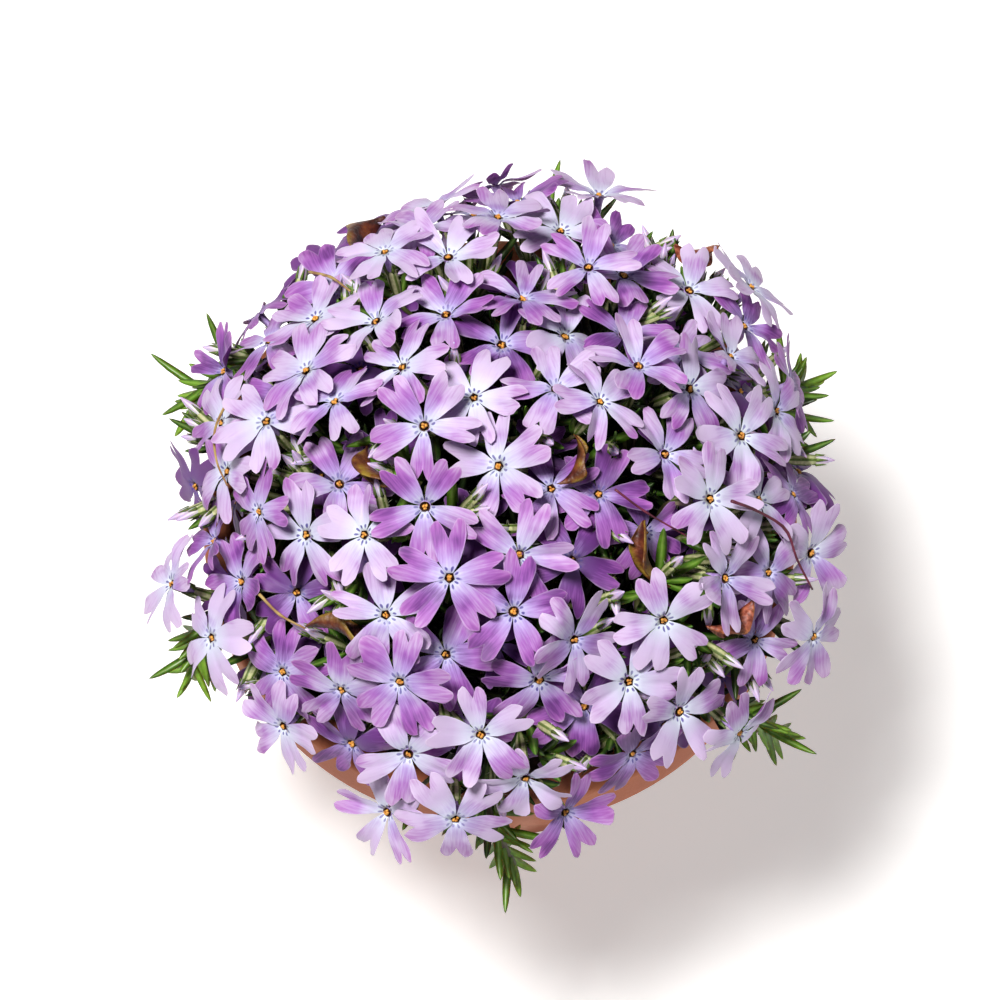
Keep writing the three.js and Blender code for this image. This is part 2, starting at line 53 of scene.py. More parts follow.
# Driving dimensions of the CAD
POT_HEIGHT = 92.0
POT_RIM_RADIUS = 52.5
POT_RIM_BAND = 19.0
POT_RIM_OVERHANG = 3.0
POT_FOOT_RADIUS = 37.0
POT_WALL = 4.6
POT_FLOOR = 7.0
DRAIN_RADIUS = 6.0
SOIL_LEVEL = 83.0
SOIL_CROWN = 3.0
STEM_HOLE_DEPTH = 7.0
SEAT_GAP = 0.3
DOME_RADIUS = 59.0
DOME_CROWN = 139.0
DOME_EDGE = 105.0
DOME_POWER = 2.3
FORK_DEPTH = 17.0
FORK_RADIUS = 1.7
ROOT_INSET = 0.86
STEM_SIDES = 4
LIMB_RADIUS = 9.3
HUB_RADIUS = 1.5
PETAL_DEPTH = 0.65
TUBE_TOP_RADIUS = 1.15
TUBE_LENGTH = 5.0
THROAT_DEPTH = 1.3
CALYX_LENGTH = 6.0
BUD_RADIUS = 1.6
TRAILING_ROOT_RADIUS = 41.5

# Corolla shapes of the CAD: cup angle in degrees, notch as a share of the limb, breadth
COROLLAS = [(3, 0.76, 1.0), (14, 0.8, 0.92), (-6, 0.72, 1.04)]

# Where a CAD petal is widest: how far out and how far aside, as shares of the limb
PETAL_WIDEST = (0.7, 0.37)


# Directions and lines
def unit(vector):
    vector = np.asarray(vector, float)
    return vector / np.linalg.norm(vector)


def smooth(value, low, high):
    """Eases from 0 at low to 1 at high."""
    share = np.clip((value - low) / (high - low), 0, 1)
    return share * share * (3 - 2 * share)


def across_of(direction):
    """A level direction across a given one."""
    across = np.cross(direction, UP)
    if np.linalg.norm(across) < 1e-3:
        across = np.cross(direction, (1.0, 0.0, 0.0))
    return unit(across)


def turned(vector, axis, angle):
    """vector turned about a unit axis."""
    return (
        vector * math.cos(angle)
        + np.cross(axis, vector) * math.sin(angle)
        + axis * np.dot(axis, vector) * (1 - math.cos(angle))
    )


def beside(direction, angle):
    """The direction across a given one that is turned about it by an angle."""
    return turned(across_of(direction), direction, angle)


def leaning(direction, angle, rng):
    """direction leant over by an angle, to a side drawn at random."""
    return unit(turned(direction, beside(direction, rng.uniform(0, FULL_TURN)), angle))


def outward_at(angle):
    return np.array([math.cos(angle), math.sin(angle), 0.0])


def bezier(a, b, c, d, shares):
    t = np.asarray(shares)[:, None]
    s = 1 - t
    return s**3 * a + 3 * s * s * t * b + 3 * s * t * t * c + t**3 * d


def catmull_rom(points, count):
    """A smooth line through points."""
    points = np.asarray(points)
    padded = np.vstack([2 * points[0] - points[1], points, 2 * points[-1] - points[-2]])
    line = []
    for value in np.linspace(0, len(points) - 1 - 1e-9, count):
        k = int(value)
        t = value - k
        a, b, c, d = padded[k : k + 4]
        bend = (2 * a - 5 * b + 4 * c - d) * t**2 + (3 * b - a - 3 * c + d) * t**3
        line.append((2 * b + (c - a) * t + bend) / 2)
    return np.array(line)


class Route:
    """A line of points, read by the distance along it."""

    def __init__(self, points):
        self.points = points
        steps = np.linalg.norm(np.diff(points, axis=0), axis=1)
        self.distances = np.concatenate([[0], np.cumsum(steps)])
        self.length = self.distances[-1]

    def at(self, place):
        return np.array([np.interp(place, self.distances, self.points[:, k]) for k in range(3)])


# Rings that skins are drawn over
def round_angles(sides):
    return np.arange(sides) * 2 * math.pi / sides


def rings_along(centres, radii, sides):
    """Rings (count, sides, 3) round a line of centres."""
    centres = np.asarray(centres, float)
    radii = np.broadcast_to(np.asarray(radii, float), (len(centres),))
    ways = np.gradient(centres, axis=0)
    across = across_of(ways[0])
    angles = round_angles(sides)
    rings = []
    for centre, radius, way in zip(centres, radii, ways):
        way = unit(way)
        across = unit(across - way * np.dot(across, way))
        rise = np.cross(way, across)
        ring = np.outer(np.cos(angles), across) + np.outer(np.sin(angles), rise)
        rings.append(centre + radius * ring)
    return np.array(rings)


def lathe(profile, sides):
    """Rings of an outline of (radius, height) turned about the upright axis."""
    profile = np.asarray(profile, float)
    angles = round_angles(sides)
    x = profile[:, :1] * np.cos(angles)
    y = profile[:, :1] * np.sin(angles)
    return np.stack([x, y, np.broadcast_to(profile[:, 1:], x.shape)], -1)


def fluted(rings, wave, depth):
    """Rings that swell and sink round their middles with a wave of -1 to 1."""
    middles = rings.mean(1, keepdims=True)
    return middles + (rings - middles) * (1 + depth * np.atleast_2d(wave))[..., None]


# Forms: closed surfaces gathered into one mesh, with four values at each point for the materials
TAGS = ("tone", "along", "across", "mark")


def spread(tags, tag, rows, columns):
    """A tag's values over a grid, from one value, one for each row, or one for each point."""
    value = np.asarray(tags.get(tag, 0.0), float)
    if value.ndim == 1:
        value = value[:, None]
    return np.broadcast_to(value, (rows, columns))


class Form:
    def __init__(self):
        self.points = []
        self.tags = {tag: [] for tag in TAGS}
        self.faces = []
        self.face_materials = []
        self.materials = []
        self.count = 0

    def slot(self, material):
        if material not in self.materials:
            self.materials.append(material)
        return self.materials.index(material)

    def add_points(self, points, **tags):
        points = np.asarray(points, float).reshape(-1, 3)
        for tag in TAGS:
            value = np.asarray(tags.get(tag, 0.0), float).ravel()
            self.tags[tag].append(np.broadcast_to(value, (len(points),)))
        self.points.append(points)
        start = self.count
        self.count += len(points)
        return start

    def add_faces(self, faces, material):
        faces = np.asarray(faces).tolist()
        self.faces.extend(faces)
        self.face_materials.extend([self.slot(material)] * len(faces))

    def tube(self, rings, materials, tip=None, **tags):
        """A closed skin over rings (count, sides, 3), its ends closed to their middles or a tip.
        materials is one material, or one for each band."""
        count, sides = rings.shape[:2]
        bands = materials if isinstance(materials, list) else [materials] * (count - 1)
        shaped = {tag: spread(tags, tag, count, sides) for tag in TAGS}
        start = self.add_points(rings, **shaped)
        ends = []
        for row, point in ((0, rings[0].mean(0)), (-1, rings[-1].mean(0) if tip is None else tip)):
            end_tags = {tag: shaped[tag][row].mean() for tag in TAGS}
            ends.append(self.add_points(point, **end_tags))
        side = np.arange(sides)
        following = np.roll(side, -1)
        for row, material in enumerate(bands):
            low = start + row * sides
            high = low + sides
            band = np.stack([low + side, low + following, high + following, high + side], 1)
            self.add_faces(band, material)
        last = start + (count - 1) * sides
        foot_fan = np.stack([start + following, start + side, np.full(sides, ends[0])], 1)
        tip_fan = np.stack([last + side, last + following, np.full(sides, ends[1])], 1)
        self.add_faces(foot_fan, bands[0])
        self.add_faces(tip_fan, bands[-1])

    def sheet(self, top, bottom, face, back, **tags):
        """A closed sheet between two grids (rows, columns, 3), its rim closed."""
        rows, columns = top.shape[:2]
        shaped = {tag: spread(tags, tag, rows, columns) for tag in TAGS}
        start = self.add_points(top, **shaped)
        under = self.add_points(bottom, **shaped) - start
        index = start + np.arange(rows * columns).reshape(rows, columns)
        quads = np.stack([index[:-1, :-1], index[1:, :-1], index[1:, 1:], index[:-1, 1:]], -1)
        quads = quads.reshape(-1, 4)
        self.add_faces(quads, face)
        self.add_faces(quads[:, ::-1] + under, back)
        rim = np.concatenate([index[:, 0], index[-1, 1:], index[-2::-1, -1], index[0, -2:0:-1]])
        following = np.roll(rim, -1)
        self.add_faces(np.stack([following, rim, rim + under, following + under], 1), face)

    def hoop(self, rings, material):
        """A skin over rings that closes on itself both ways."""
        count, sides = rings.shape[:2]
        start = self.add_points(rings)
        index = start + np.arange(count * sides).reshape(count, sides)
        after = np.roll(index, -1, 0)
        quads = np.stack([index, np.roll(index, -1, 1), np.roll(after, -1, 1), after], -1)
        self.add_faces(quads.reshape(-1, 4), material)

    def piece(self, name, slot, *replaced):
        """The finished object, riding on the plant's one body."""
        mesh = bpy.data.meshes.new(name)
        mesh.from_pydata((np.concatenate(self.points) * MM).tolist(), [], self.faces)
        mesh.polygons.foreach_set("material_index", self.face_materials)
        for material in self.materials:
            mesh.materials.append(material)
        for tag in TAGS:
            attribute = mesh.attributes.new(tag, "FLOAT", "POINT")
            attribute.data.foreach_set("value", np.concatenate(self.tags[tag]).astype(np.float32))
        mesh.shade_smooth()
        mesh.update()
        thing = bpy.data.objects.new(name, mesh)
        bpy.context.scene.collection.objects.link(thing)
        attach(thing, "root")
        if replaced:
            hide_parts(*replaced)
        return thing


# How closely a ring in the CAD has to match before it is taken for a bloom's throat or tube
EVEN_RING = 0.03
THROAT_MATCH = 0.03
TUBE_MATCH = 0.08
LEAST_HUB_SPACING = 1.0

# The sharp points of a CAD shoot: the radius and the height of a bud's tip and of a leaf's
BUD_RADIUS_MATCH = 0.1
BUD_TIP_HEIGHTS = (4, 6.6)
LEAF_TIP_RADII = (0.4, 1.0)
LEAF_TIP_HEIGHTS = (5, 10.5)

# A CAD leaf, as shares of its length: from the bend to the tip, to the foot, and the tip's lift
LEAF_BEND_TO_TIP = 0.7
LEAF_BEND_TO_FOOT = 0.36
LEAF_TIP_LIFT = 0.1


class Welded:
    """A CAD node's points, with the ones that meet joined, and their neighbours."""

    def __init__(self, node):
        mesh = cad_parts[node].data
        raw = np.array([v.co for v in mesh.vertices]) / MM
        keys = np.round(raw, 3)
        _, first, inverse = np.unique(keys, axis=0, return_index=True, return_inverse=True)
        inverse = inverse.ravel()
        self.points = raw[first]
        self.neighbours = [set() for _ in self.points]
        for polygon in mesh.polygons:
            corners = [inverse[v] for v in polygon.vertices]
            for a, b in zip(corners, corners[1:] + corners[:1]):
                if a != b:
                    self.neighbours[a].add(b)
                    self.neighbours[b].add(a)

    def spires(self, sides):
        """Points whose neighbours are one ring: (point, ring, ring's middle, radii, height)."""
        for point, near in zip(self.points, self.neighbours):
            if len(near) != sides:
                continue
            ring = self.points[sorted(near)]
            middle = ring.mean(0)
            radii = np.linalg.norm(ring - middle, axis=1)
            yield point, ring, middle, radii, np.linalg.norm(middle - point)

    def sunk_end(self):
        """The middle of the lowest ring of a stem, in its hole in the soil."""
        return self.points[np.argsort(self.points[:, 2])[:STEM_SIDES]].mean(0)


class Bloom:
    """A corolla's place: its hub, the way it faces, its first petal's side and its scale."""

    def __init__(self, hub, facing, side, scale):
        self.hub, self.facing, self.scale = hub, facing, scale
        self.side = unit(side - facing * np.dot(side, facing))
        self.rise = np.cross(facing, self.side)
        self.corolla = COROLLAS[0]

    def at(self, local):
        """Points given beside the hub, in the bloom's own directions."""
        local = np.asarray(local, float)
        return (
            self.hub
            + local[..., :1] * self.side
            + local[..., 1:2] * self.rise
            + local[..., 2:] * self.facing
        )

    def match(self, points):
        """Chooses the CAD corolla whose petal sides lie on the node's points."""

        def misses(corolla):
            cup, _, breadth = corolla
            along = PETAL_WIDEST[0] * LIMB_RADIUS
            aside = PETAL_WIDEST[1] * breadth * LIMB_RADIUS
            radius = math.hypot(along, aside)
            height = (radius - HUB_RADIUS) * math.tan(math.radians(cup))
            angles = np.arange(5) * FIFTH + math.atan2(aside, along)
            local = np.stack([radius * np.cos(angles), radius * np.sin(angles)], 1)
            local = np.column_stack([local, np.full(5, height)]) * self.scale
            expected = self.at(local)
            apart = np.linalg.norm(points[None] - expected[:, None], axis=2).min(1)
            return np.sort(apart)[:3].sum()

        self.corolla = min(COROLLAS, key=misses)


def blooms_in(node):
    """The blooms of a CAD node, from the throat or else from the foot of each tube."""
    welded = Welded(node)
    throat_rise = THROAT_DEPTH / HUB_RADIUS
    foot_rise = (TUBE_LENGTH - PETAL_DEPTH) / TUBE_TOP_RADIUS
    found = []
    for point, ring, middle, radii, height in welded.spires(5):
        size = radii.mean()
        if np.ptp(radii) > EVEN_RING * size:
            continue
        facing = unit(middle - point)
        if abs(height / size - throat_rise) < THROAT_MATCH:
            bloom = Bloom(middle, facing, middle - ring[0], size / HUB_RADIUS)
        elif abs(height / size - foot_rise) < TUBE_MATCH:
            scale = size / TUBE_TOP_RADIUS
            hub = middle + facing * PETAL_DEPTH * scale
            bloom = Bloom(hub, facing, middle - ring[0], scale)
        else:
            continue
        if not too_near(bloom.hub, [other.hub for other in found], LEAST_HUB_SPACING):
            bloom.match(welded.points)
            found.append(bloom)
    return found


def too_near(point, others, spacing):
    return any(np.linalg.norm(point - other) < spacing for other in others)


def buds_and_leaves_in(node):
    """Buds as (tip, way, length) and leaves as (tip, foot), from a shoot's sharp points."""
    buds, leaves = [], []
    for point, _, middle, radii, height in Welded(node).spires(3):
        size = radii.mean()
        bud_like = abs(size - BUD_RADIUS) < BUD_RADIUS_MATCH
        leaf_like = LEAF_TIP_RADII[0] < size < LEAF_TIP_RADII[1]
        if bud_like and BUD_TIP_HEIGHTS[0] < height < BUD_TIP_HEIGHTS[1]:
            buds.append((point, unit(point - middle), 2 * height))
        elif leaf_like and LEAF_TIP_HEIGHTS[0] < height < LEAF_TIP_HEIGHTS[1]:
            length = height / LEAF_BEND_TO_TIP
            way = unit(point - middle - LEAF_TIP_LIFT * length * UP)
            leaves.append((point, middle - way * LEAF_BEND_TO_FOOT * length))
    return buds, leaves


# The dome that the blooms lie on, and the stems below it
def dome_level(share):
    return DOME_EDGE + (DOME_CROWN - DOME_EDGE) * (1 - share**DOME_POWER)


def dome_at(share, angle):
    """A place on the dome, at a share of its radius, and the way the dome faces there."""
    slope = (DOME_CROWN - DOME_EDGE) * DOME_POWER * share ** (DOME_POWER - 1) / DOME_RADIUS
    outward = outward_at(angle)
    return outward * (DOME_RADIUS * share) + UP * dome_level(share), unit(outward * slope + UP)


def dome_height(point):
    """The dome's height over a point, carried on a little beyond its edge."""
    return dome_level(min(1.1, math.hypot(point[0], point[1]) / DOME_RADIUS))


def under_dome(reach, depths, rng):
    """A random place at a depth under the dome, and the way the dome faces there."""
    site, normal = dome_at(math.sqrt(rng.uniform(0, reach)), rng.uniform(0, FULL_TURN))
    return site - normal * rng.uniform(*depths), normal


class Stem:
    """A cluster's stem: from its root in the soil to the fork below its blooms."""

    def __init__(self, node):
        sunk = Welded(node).sunk_end()
        self.root = sunk + UP * (STEM_HOLE_DEPTH - SEAT_GAP)
        angle = math.atan2(sunk[1], sunk[0])
        reach = math.hypot(sunk[0], sunk[1]) / ROOT_INSET
        low, high = 0.0, 1.2
        for _ in range(40):
            share = (low + high) / 2
            site, self.normal = dome_at(share, angle)
            self.fork = site - self.normal * FORK_DEPTH
            if np.dot(self.fork, outward_at(angle)) < reach:
                low = share
            else:
                high = share
        climb = self.fork[2] - self.root[2]
        leaving = self.root + UP * climb * 0.35
        arriving = self.fork - self.normal * climb * 0.3
        self.path = (sunk, leaving, arriving, self.fork)

    def at(self, shares):
        return bezier(*self.path, np.atleast_1d(shares))

    def stalk_start(self, target):
        """Where the stalk to a target leaves the fork's knob."""
        aside = target - self.fork
        aside = aside - self.normal * np.dot(aside, self.normal)
        length = np.linalg.norm(aside)
        return self.fork + aside * min(FORK_RADIUS * 0.6 / length, 0.12)


def nearest_stem(stems, point):
    return min(stems, key=lambda name: np.linalg.norm(stems[name].fork - point))


# Materials
def tint(red, green, blue):
    """A linear colour from screen values of 0 to 255."""

    def linear(value):
        value /= 255
        return value / 12.92 if value <= 0.04045 else ((value + 0.055) / 1.055) ** 2.4

    return (linear(red), linear(green), linear(blue), 1.0)


class Nodes:
    """Short calls for building a node tree."""

    def __init__(self, tree):
        self.tree = tree

    def add(self, kind, **settings):
        node = self.tree.nodes.new(kind)
        for key, value in settings.items():
            setattr(node, key, value)
        return node

    def link(self, source, target):
        self.tree.links.new(source, target)

    def feed(self, socket, value):
        if isinstance(value, bpy.types.NodeSocket):
            self.link(value, socket)
        else:
            socket.default_value = value

    def feed_all(self, node, **values):
        for name, value in values.items():
            self.feed(node.inputs[name.replace("_", " ")], value)

    def tag(self, name):
        return self.add("ShaderNodeAttribute", attribute_name=name).outputs["Fac"]

    def place(self):
        return self.add("ShaderNodeTexCoord").outputs["Object"]

    def math(self, operation, *values):
        node = self.add("ShaderNodeMath", operation=operation)
        for socket, value in zip(node.inputs, values):
            self.feed(socket, value)
        return node.outputs[0]

    def total(self, *values):
        result = values[0]
        for value in values[1:]:
            result = self.math("ADD", result, value)
        return result

    def ease(self, value, low, high, start=0.0, end=1.0):
        node = self.add("ShaderNodeMapRange", interpolation_type="SMOOTHSTEP")
        self.feed_all(node, Value=value, From_Min=low, From_Max=high, To_Min=start, To_Max=end)
        return node.outputs["Result"]

    def mix(self, share, first, second):
        node = self.add("ShaderNodeMix", data_type="RGBA")
        self.feed_all(node, Factor=share, A=first, B=second)
        return node.outputs["Result"]

    def ramp(self, value, *stops):
        node = self.add("ShaderNodeValToRGB")
        self.feed_all(node, Fac=value)
        elements = node.color_ramp.elements
        while len(elements) < len(stops):
            elements.new(0.5)
        for element, (place, colour) in zip(elements, stops):
            element.position = place
            element.color = tint(*colour)
        return node.outputs["Color"]

    def noise(self, scale, detail=3.0, vector=None, distortion=0.0):
        node = self.add("ShaderNodeTexNoise")
        vector = self.place() if vector is None else vector
        self.feed_all(node, Vector=vector, Scale=scale, Detail=detail, Distortion=distortion)
        return node.outputs["Fac"]

    def combine(self, *values):
        node = self.add("ShaderNodeCombineXYZ")
        for socket, value in zip(node.inputs, values):
            self.feed(socket, value)
        return node.outputs["Vector"]

    def bump(self, height, strength, distance):
        node = self.add("ShaderNodeBump")
        self.feed_all(node, Height=height, Strength=strength, Distance=distance)
        return node.outputs["Normal"]

    def group(self, tree, **values):
        node = self.add("ShaderNodeGroup", node_tree=tree)
        self.feed_all(node, **values)
        return node.outputs


def mottle_group():
    """Colour that drifts between a darker and a lighter shade of itself, and a grain to bump."""
    tree = bpy.data.node_groups.new("mottle", "ShaderNodeTree")
    for name, direction, kind in (
        ("Color", "INPUT", "NodeSocketColor"),
        ("Dark", "INPUT", "NodeSocketColor"),
        ("Amount", "INPUT", "NodeSocketFloat"),
        ("Scale", "INPUT", "NodeSocketFloat"),
        ("Color", "OUTPUT", "NodeSocketColor"),
        ("Grain", "OUTPUT", "NodeSocketFloat"),
    ):
        tree.interface.new_socket(name, in_out=direction, socket_type=kind)
    nodes = Nodes(tree)
    given = nodes.add("NodeGroupInput").outputs
    result = nodes.add("NodeGroupOutput").inputs
    grain = nodes.noise(given["Scale"], 5.0)
    share = nodes.math("MULTIPLY", nodes.ease(grain, 0.35, 0.65), given["Amount"])
    nodes.link(nodes.mix(share, given["Color"], given["Dark"]), result["Color"])
    nodes.link(grain, result["Grain"])
    return tree


MOTTLE = mottle_group()


def material(name, roughness, **sockets):
    """A new material: its node calls, and its Principled shader with plain values set."""
    made = bpy.data.materials.new(name)
    made.use_nodes = True
    nodes = Nodes(made.node_tree)
    shader = made.node_tree.nodes["Principled BSDF"]
    nodes.feed_all(shader, Roughness=roughness, **sockets)
    return made, nodes, shader.inputs


def petal_colour(nodes, along, depth):
    """Lilac from the white base to the tip of a petal, deeper with depth of colour. Depth carries random
    tone and painted shade for low blooms, and the darkest violet is painted shade only.
    """
    pale = nodes.ramp(
        along,
        (0.1, (222, 229, 242)),
        (0.24, (210, 207, 233)),
        (0.5, (205, 183, 222)),
        (0.95, (213, 187, 223)),
    )
    deep = nodes.ramp(
        along,
        (0.1, (194, 191, 232)),
        (0.24, (172, 143, 208)),
        (0.5, (159, 95, 180)),
        (0.95, (167, 91, 176)),
    )
    colour = nodes.mix(nodes.ease(depth, 0.0, 1.0), pale, deep)
    # Darkest violet: painted shade for blooms deep under the top layer
    return nodes.mix(nodes.ease(depth, 0.8, 1.5, 0.0, 0.85), colour, tint(88, 38, 112))


def petal_dashes(nodes, along, across, patch):
    """A mask of two short ragged dashes beside the middle of a petal, near its base."""
    wobble = nodes.ease(nodes.noise(700.0, 1.0), 0.3, 0.7, -0.45, 0.45)
    reach = nodes.math("DIVIDE", nodes.math("SUBTRACT", along, 0.137), 0.04)
    reach = nodes.total(reach, wobble)
    aside = nodes.math("DIVIDE", nodes.math("ABSOLUTE", across), along)
    aside = nodes.math("DIVIDE", nodes.math("SUBTRACT", aside, 0.33), 0.17)
    distance = nodes.total(nodes.math("POWER", reach, 2), nodes.math("POWER", aside, 2))
    dash = nodes.ease(distance, 0.35, 1.3, 0.9, 0.0)
    return nodes.math("MULTIPLY", dash, nodes.ease(patch, 0.35, 0.6, 1.0, 0.6))


def petal_material(name, shade):
    """Lilac with two dark dashes, pale edges painted as a highlight, patches and fine streaks. shade
    deepens it as painted shade, used on the petals' undersides.
    """
    made, nodes, shader = material(
        name,
        0.55,
        Subsurface_Weight=0.15,
        Subsurface_Scale=0.001,
        Subsurface_Radius=(1.0, 0.55, 0.95),
        Specular_IOR_Level=0.35,
    )
    tone, along, across, edge = [nodes.tag(tag) for tag in TAGS]
    wide = nodes.math("MULTIPLY", across, 34)
    long = nodes.math("MULTIPLY", along, 3)
    streaks = nodes.noise(1.0, 2.0, nodes.combine(wide, long, tone))
    patch = nodes.noise(140.0, 2.0)
    patchy = nodes.ease(patch, 0.4, 0.68, -0.25, 0.4)
    streaky = nodes.ease(streaks, 0.32, 0.7, -0.12, 0.16)
    colour = petal_colour(nodes, along, nodes.total(tone, patchy, streaky, shade))
    # Paler rims: a painted highlight along the petal's edges
    rim = nodes.math("MULTIPLY", nodes.ease(edge, 0.88, 1.0), 0.16)
    colour = nodes.mix(rim, colour, tint(246, 236, 252))
    colour = nodes.mix(petal_dashes(nodes, along, across, patch), colour, tint(66, 54, 142))
    nodes.link(colour, shader["Base Color"])
    nodes.link(nodes.bump(streaks, 0.25, 0.0001), shader["Normal"])
    return made


def plain_material(name, roughness, colour, dark, scale, bump=0.3):
    """One colour that drifts to a darker one, over a fine grain."""
    made, nodes, shader = material(name, roughness)
    out = nodes.group(MOTTLE, Color=tint(*colour), Dark=tint(*dark), Amount=0.8, Scale=scale)
    nodes.link(out["Color"], shader["Base Color"])
    nodes.link(nodes.bump(out["Grain"], bump, 0.0002), shader["Normal"])
    return made


def leaf_material():
    """Bright green, paler along the midrib. Old leaves are dull and dark; the near-black end also serves
    as painted shade for leaves deep under the blooms.
    """
    made, nodes, shader = material("awl_leaf", 0.38, Subsurface_Weight=0.1, Subsurface_Scale=0.001)
    tone, rib = nodes.tag("tone"), nodes.tag("mark")
    # From fresh to old, the darkest stops doubling as painted shade
    age_and_shade_colour = nodes.ramp(
        tone,
        (0.0, (126, 176, 44)),
        (0.35, (66, 112, 28)),
        (0.7, (34, 52, 22)),
        (1.0, (24, 22, 16)),
    )
    out = nodes.group(MOTTLE, Color=age_and_shade_colour, Dark=tint(28, 44, 16), Amount=0.4, Scale=700.0)
    fresh = nodes.ease(tone, 0.3, 0.8, 1.0, 0.1)
    rib_share = nodes.math("MULTIPLY", nodes.ease(rib, 0.55, 1.0, 0.0, 0.35), fresh)
    colour = nodes.mix(rib_share, out["Color"], tint(160, 188, 96))
    nodes.link(colour, shader["Base Color"])
    nodes.link(nodes.bump(out["Grain"], 0.2, 0.0001), shader["Normal"])
    return made


def calyx_material():
    """Green ribs with cream membranes between them, some flushed with brown."""
    made, nodes, shader = material("calyx", 0.5)
    tone, along, _, rib = [nodes.tag(tag) for tag in TAGS]
    ribs = nodes.mix(tone, tint(100, 130, 42), tint(84, 92, 48))
    gaps = nodes.mix(tone, tint(216, 222, 160), tint(186, 178, 134))
    colour = nodes.mix(nodes.ease(rib, 0.3, 0.75), gaps, ribs)
    colour = nodes.mix(nodes.ease(along, 0.0, 0.35, 0.75, 0.0), colour, tint(112, 142, 44))
    out = nodes.group(MOTTLE, Color=colour, Dark=tint(60, 66, 30), Amount=0.3, Scale=1800.0)
    nodes.link(out["Color"], shader["Base Color"])
    nodes.link(nodes.bump(out["Grain"], 0.3, 0.0001), shader["Normal"])
    return made


def furled_material():
    """Furled petals of a bud: cream at the foot, lilac where they show."""
    made, nodes, shader = material("furled_petals", 0.45, Subsurface_Weight=0.2, Subsurface_Scale=0.001)
    tone, along, _, groove = [nodes.tag(tag) for tag in TAGS]
    colour = nodes.mix(nodes.ease(along, 0.1, 0.9), tint(238, 238, 206), tint(226, 206, 240))
    colour = nodes.mix(nodes.math("MULTIPLY", tone, 0.35), colour, tint(176, 130, 206))
    colour = nodes.mix(nodes.ease(groove, 0.2, 0.9, 0.35, 0.0), colour, tint(150, 120, 168))
    nodes.link(colour, shader["Base Color"])
    return made


def dry_leaf_material():
    """Brown outside with golden patches, dark red inside, veined, and rusty where tone is high."""
    made, nodes, shader = material("dry_leaf", 0.45, Coat_Weight=0.08, Coat_Roughness=0.3)
    tone, along, across, inside = [nodes.tag(tag) for tag in TAGS]
    patch = nodes.noise(380.0, 5.0)
    outer = nodes.ramp(patch, (0.36, (78, 34, 16)), (0.47, (120, 72, 26)), (0.6, (150, 124, 40)))
    inner = nodes.ramp(patch, (0.36, (44, 16, 14)), (0.5, (86, 34, 22)), (0.66, (132, 70, 36)))
    colour = nodes.mix(inside, outer, inner)
    leather = nodes.noise(1500.0, 4.0)
    rust = nodes.ramp(leather, (0.38, (122, 46, 30)), (0.62, (200, 110, 82)))
    colour = nodes.mix(nodes.ease(tone, 0.4, 1.0, 0.0, 0.8), colour, rust)
    slanted = nodes.total(nodes.math("MULTIPLY", along, 42), across)
    veins = nodes.math("ABSOLUTE", nodes.math("SINE", slanted))
    colour = nodes.mix(nodes.ease(veins, 0.0, 0.25, 0.35, 0.0), colour, tint(52, 24, 14))
    nodes.link(colour, shader["Base Color"])
    nodes.link(nodes.bump(leather, 0.6, 0.0004), shader["Normal"])
    return made


def terracotta_material():
    """Fired clay: orange-brown, mottled, with a pale mineral bloom that is strongest low down."""
    made, nodes, shader = material("terracotta", 0.88)
    clay = nodes.group(
        MOTTLE, Color=tint(196, 116, 78), Dark=tint(168, 90, 58), Amount=0.8, Scale=26.0
    )
    place = nodes.place()
    split = nodes.add("ShaderNodeSeparateXYZ")
    nodes.link(place, split.inputs["Vector"])
    streaky = nodes.add("ShaderNodeMapping")
    nodes.feed_all(streaky, Vector=place, Scale=(1.0, 1.0, 0.35))
    bloom = nodes.noise(60.0, 6.0, streaky.outputs["Vector"], 0.4)
    low = nodes.ease(split.outputs["Z"], 0.0, 0.06, 0.75, 0.15)
    bloom_share = nodes.math("MULTIPLY", nodes.ease(bloom, 0.5, 0.72), low)
    colour = nodes.mix(bloom_share, clay["Color"], tint(222, 196, 176))
    fine = nodes.noise(1400.0, 3.0)
    colour = nodes.mix(nodes.ease(fine, 0.62, 0.75, 0.0, 0.5), colour, tint(140, 72, 46))
    nodes.link(colour, shader["Base Color"])
    grain = nodes.total(fine, nodes.math("MULTIPLY", clay["Grain"], 2.0))
    nodes.link(nodes.bump(grain, 0.35, 0.0004), shader["Normal"])
    return made


PETAL = petal_material("petal", 0.0)
# The petals' undersides take a deeper colour: painted shade
PETAL_BACK_SHADED = petal_material("petal_back_painted_shade", 0.35)
TUBE = plain_material("corolla_tube", 0.5, (196, 170, 226), (150, 108, 186), 1500.0)
THROAT = plain_material("throat", 0.4, (66, 34, 20), (30, 14, 16), 3000.0)
POLLEN = plain_material("pollen", 0.5, (238, 172, 70), (158, 84, 30), 2500.0)
LEAF = leaf_material()
CALYX = calyx_material()
FURLED = furled_material()
STEM = plain_material("stem", 0.6, (84, 90, 44), (64, 44, 32), 300.0)
HAIR = plain_material("hair", 0.5, (228, 228, 208), (190, 190, 160), 500.0)
DRY_LEAF = dry_leaf_material()
STRAW = plain_material("straw", 0.6, (186, 158, 92), (132, 84, 50), 400.0)
TWIG = plain_material("twig", 0.5, (112, 40, 62), (64, 22, 34), 400.0)
TERRACOTTA = terracotta_material()
SOIL = plain_material("soil", 0.95, (58, 42, 32), (28, 20, 16), 600.0, bump=0.8)
GRIT = plain_material("grit", 0.8, (206, 200, 188), (150, 140, 124), 1200.0)


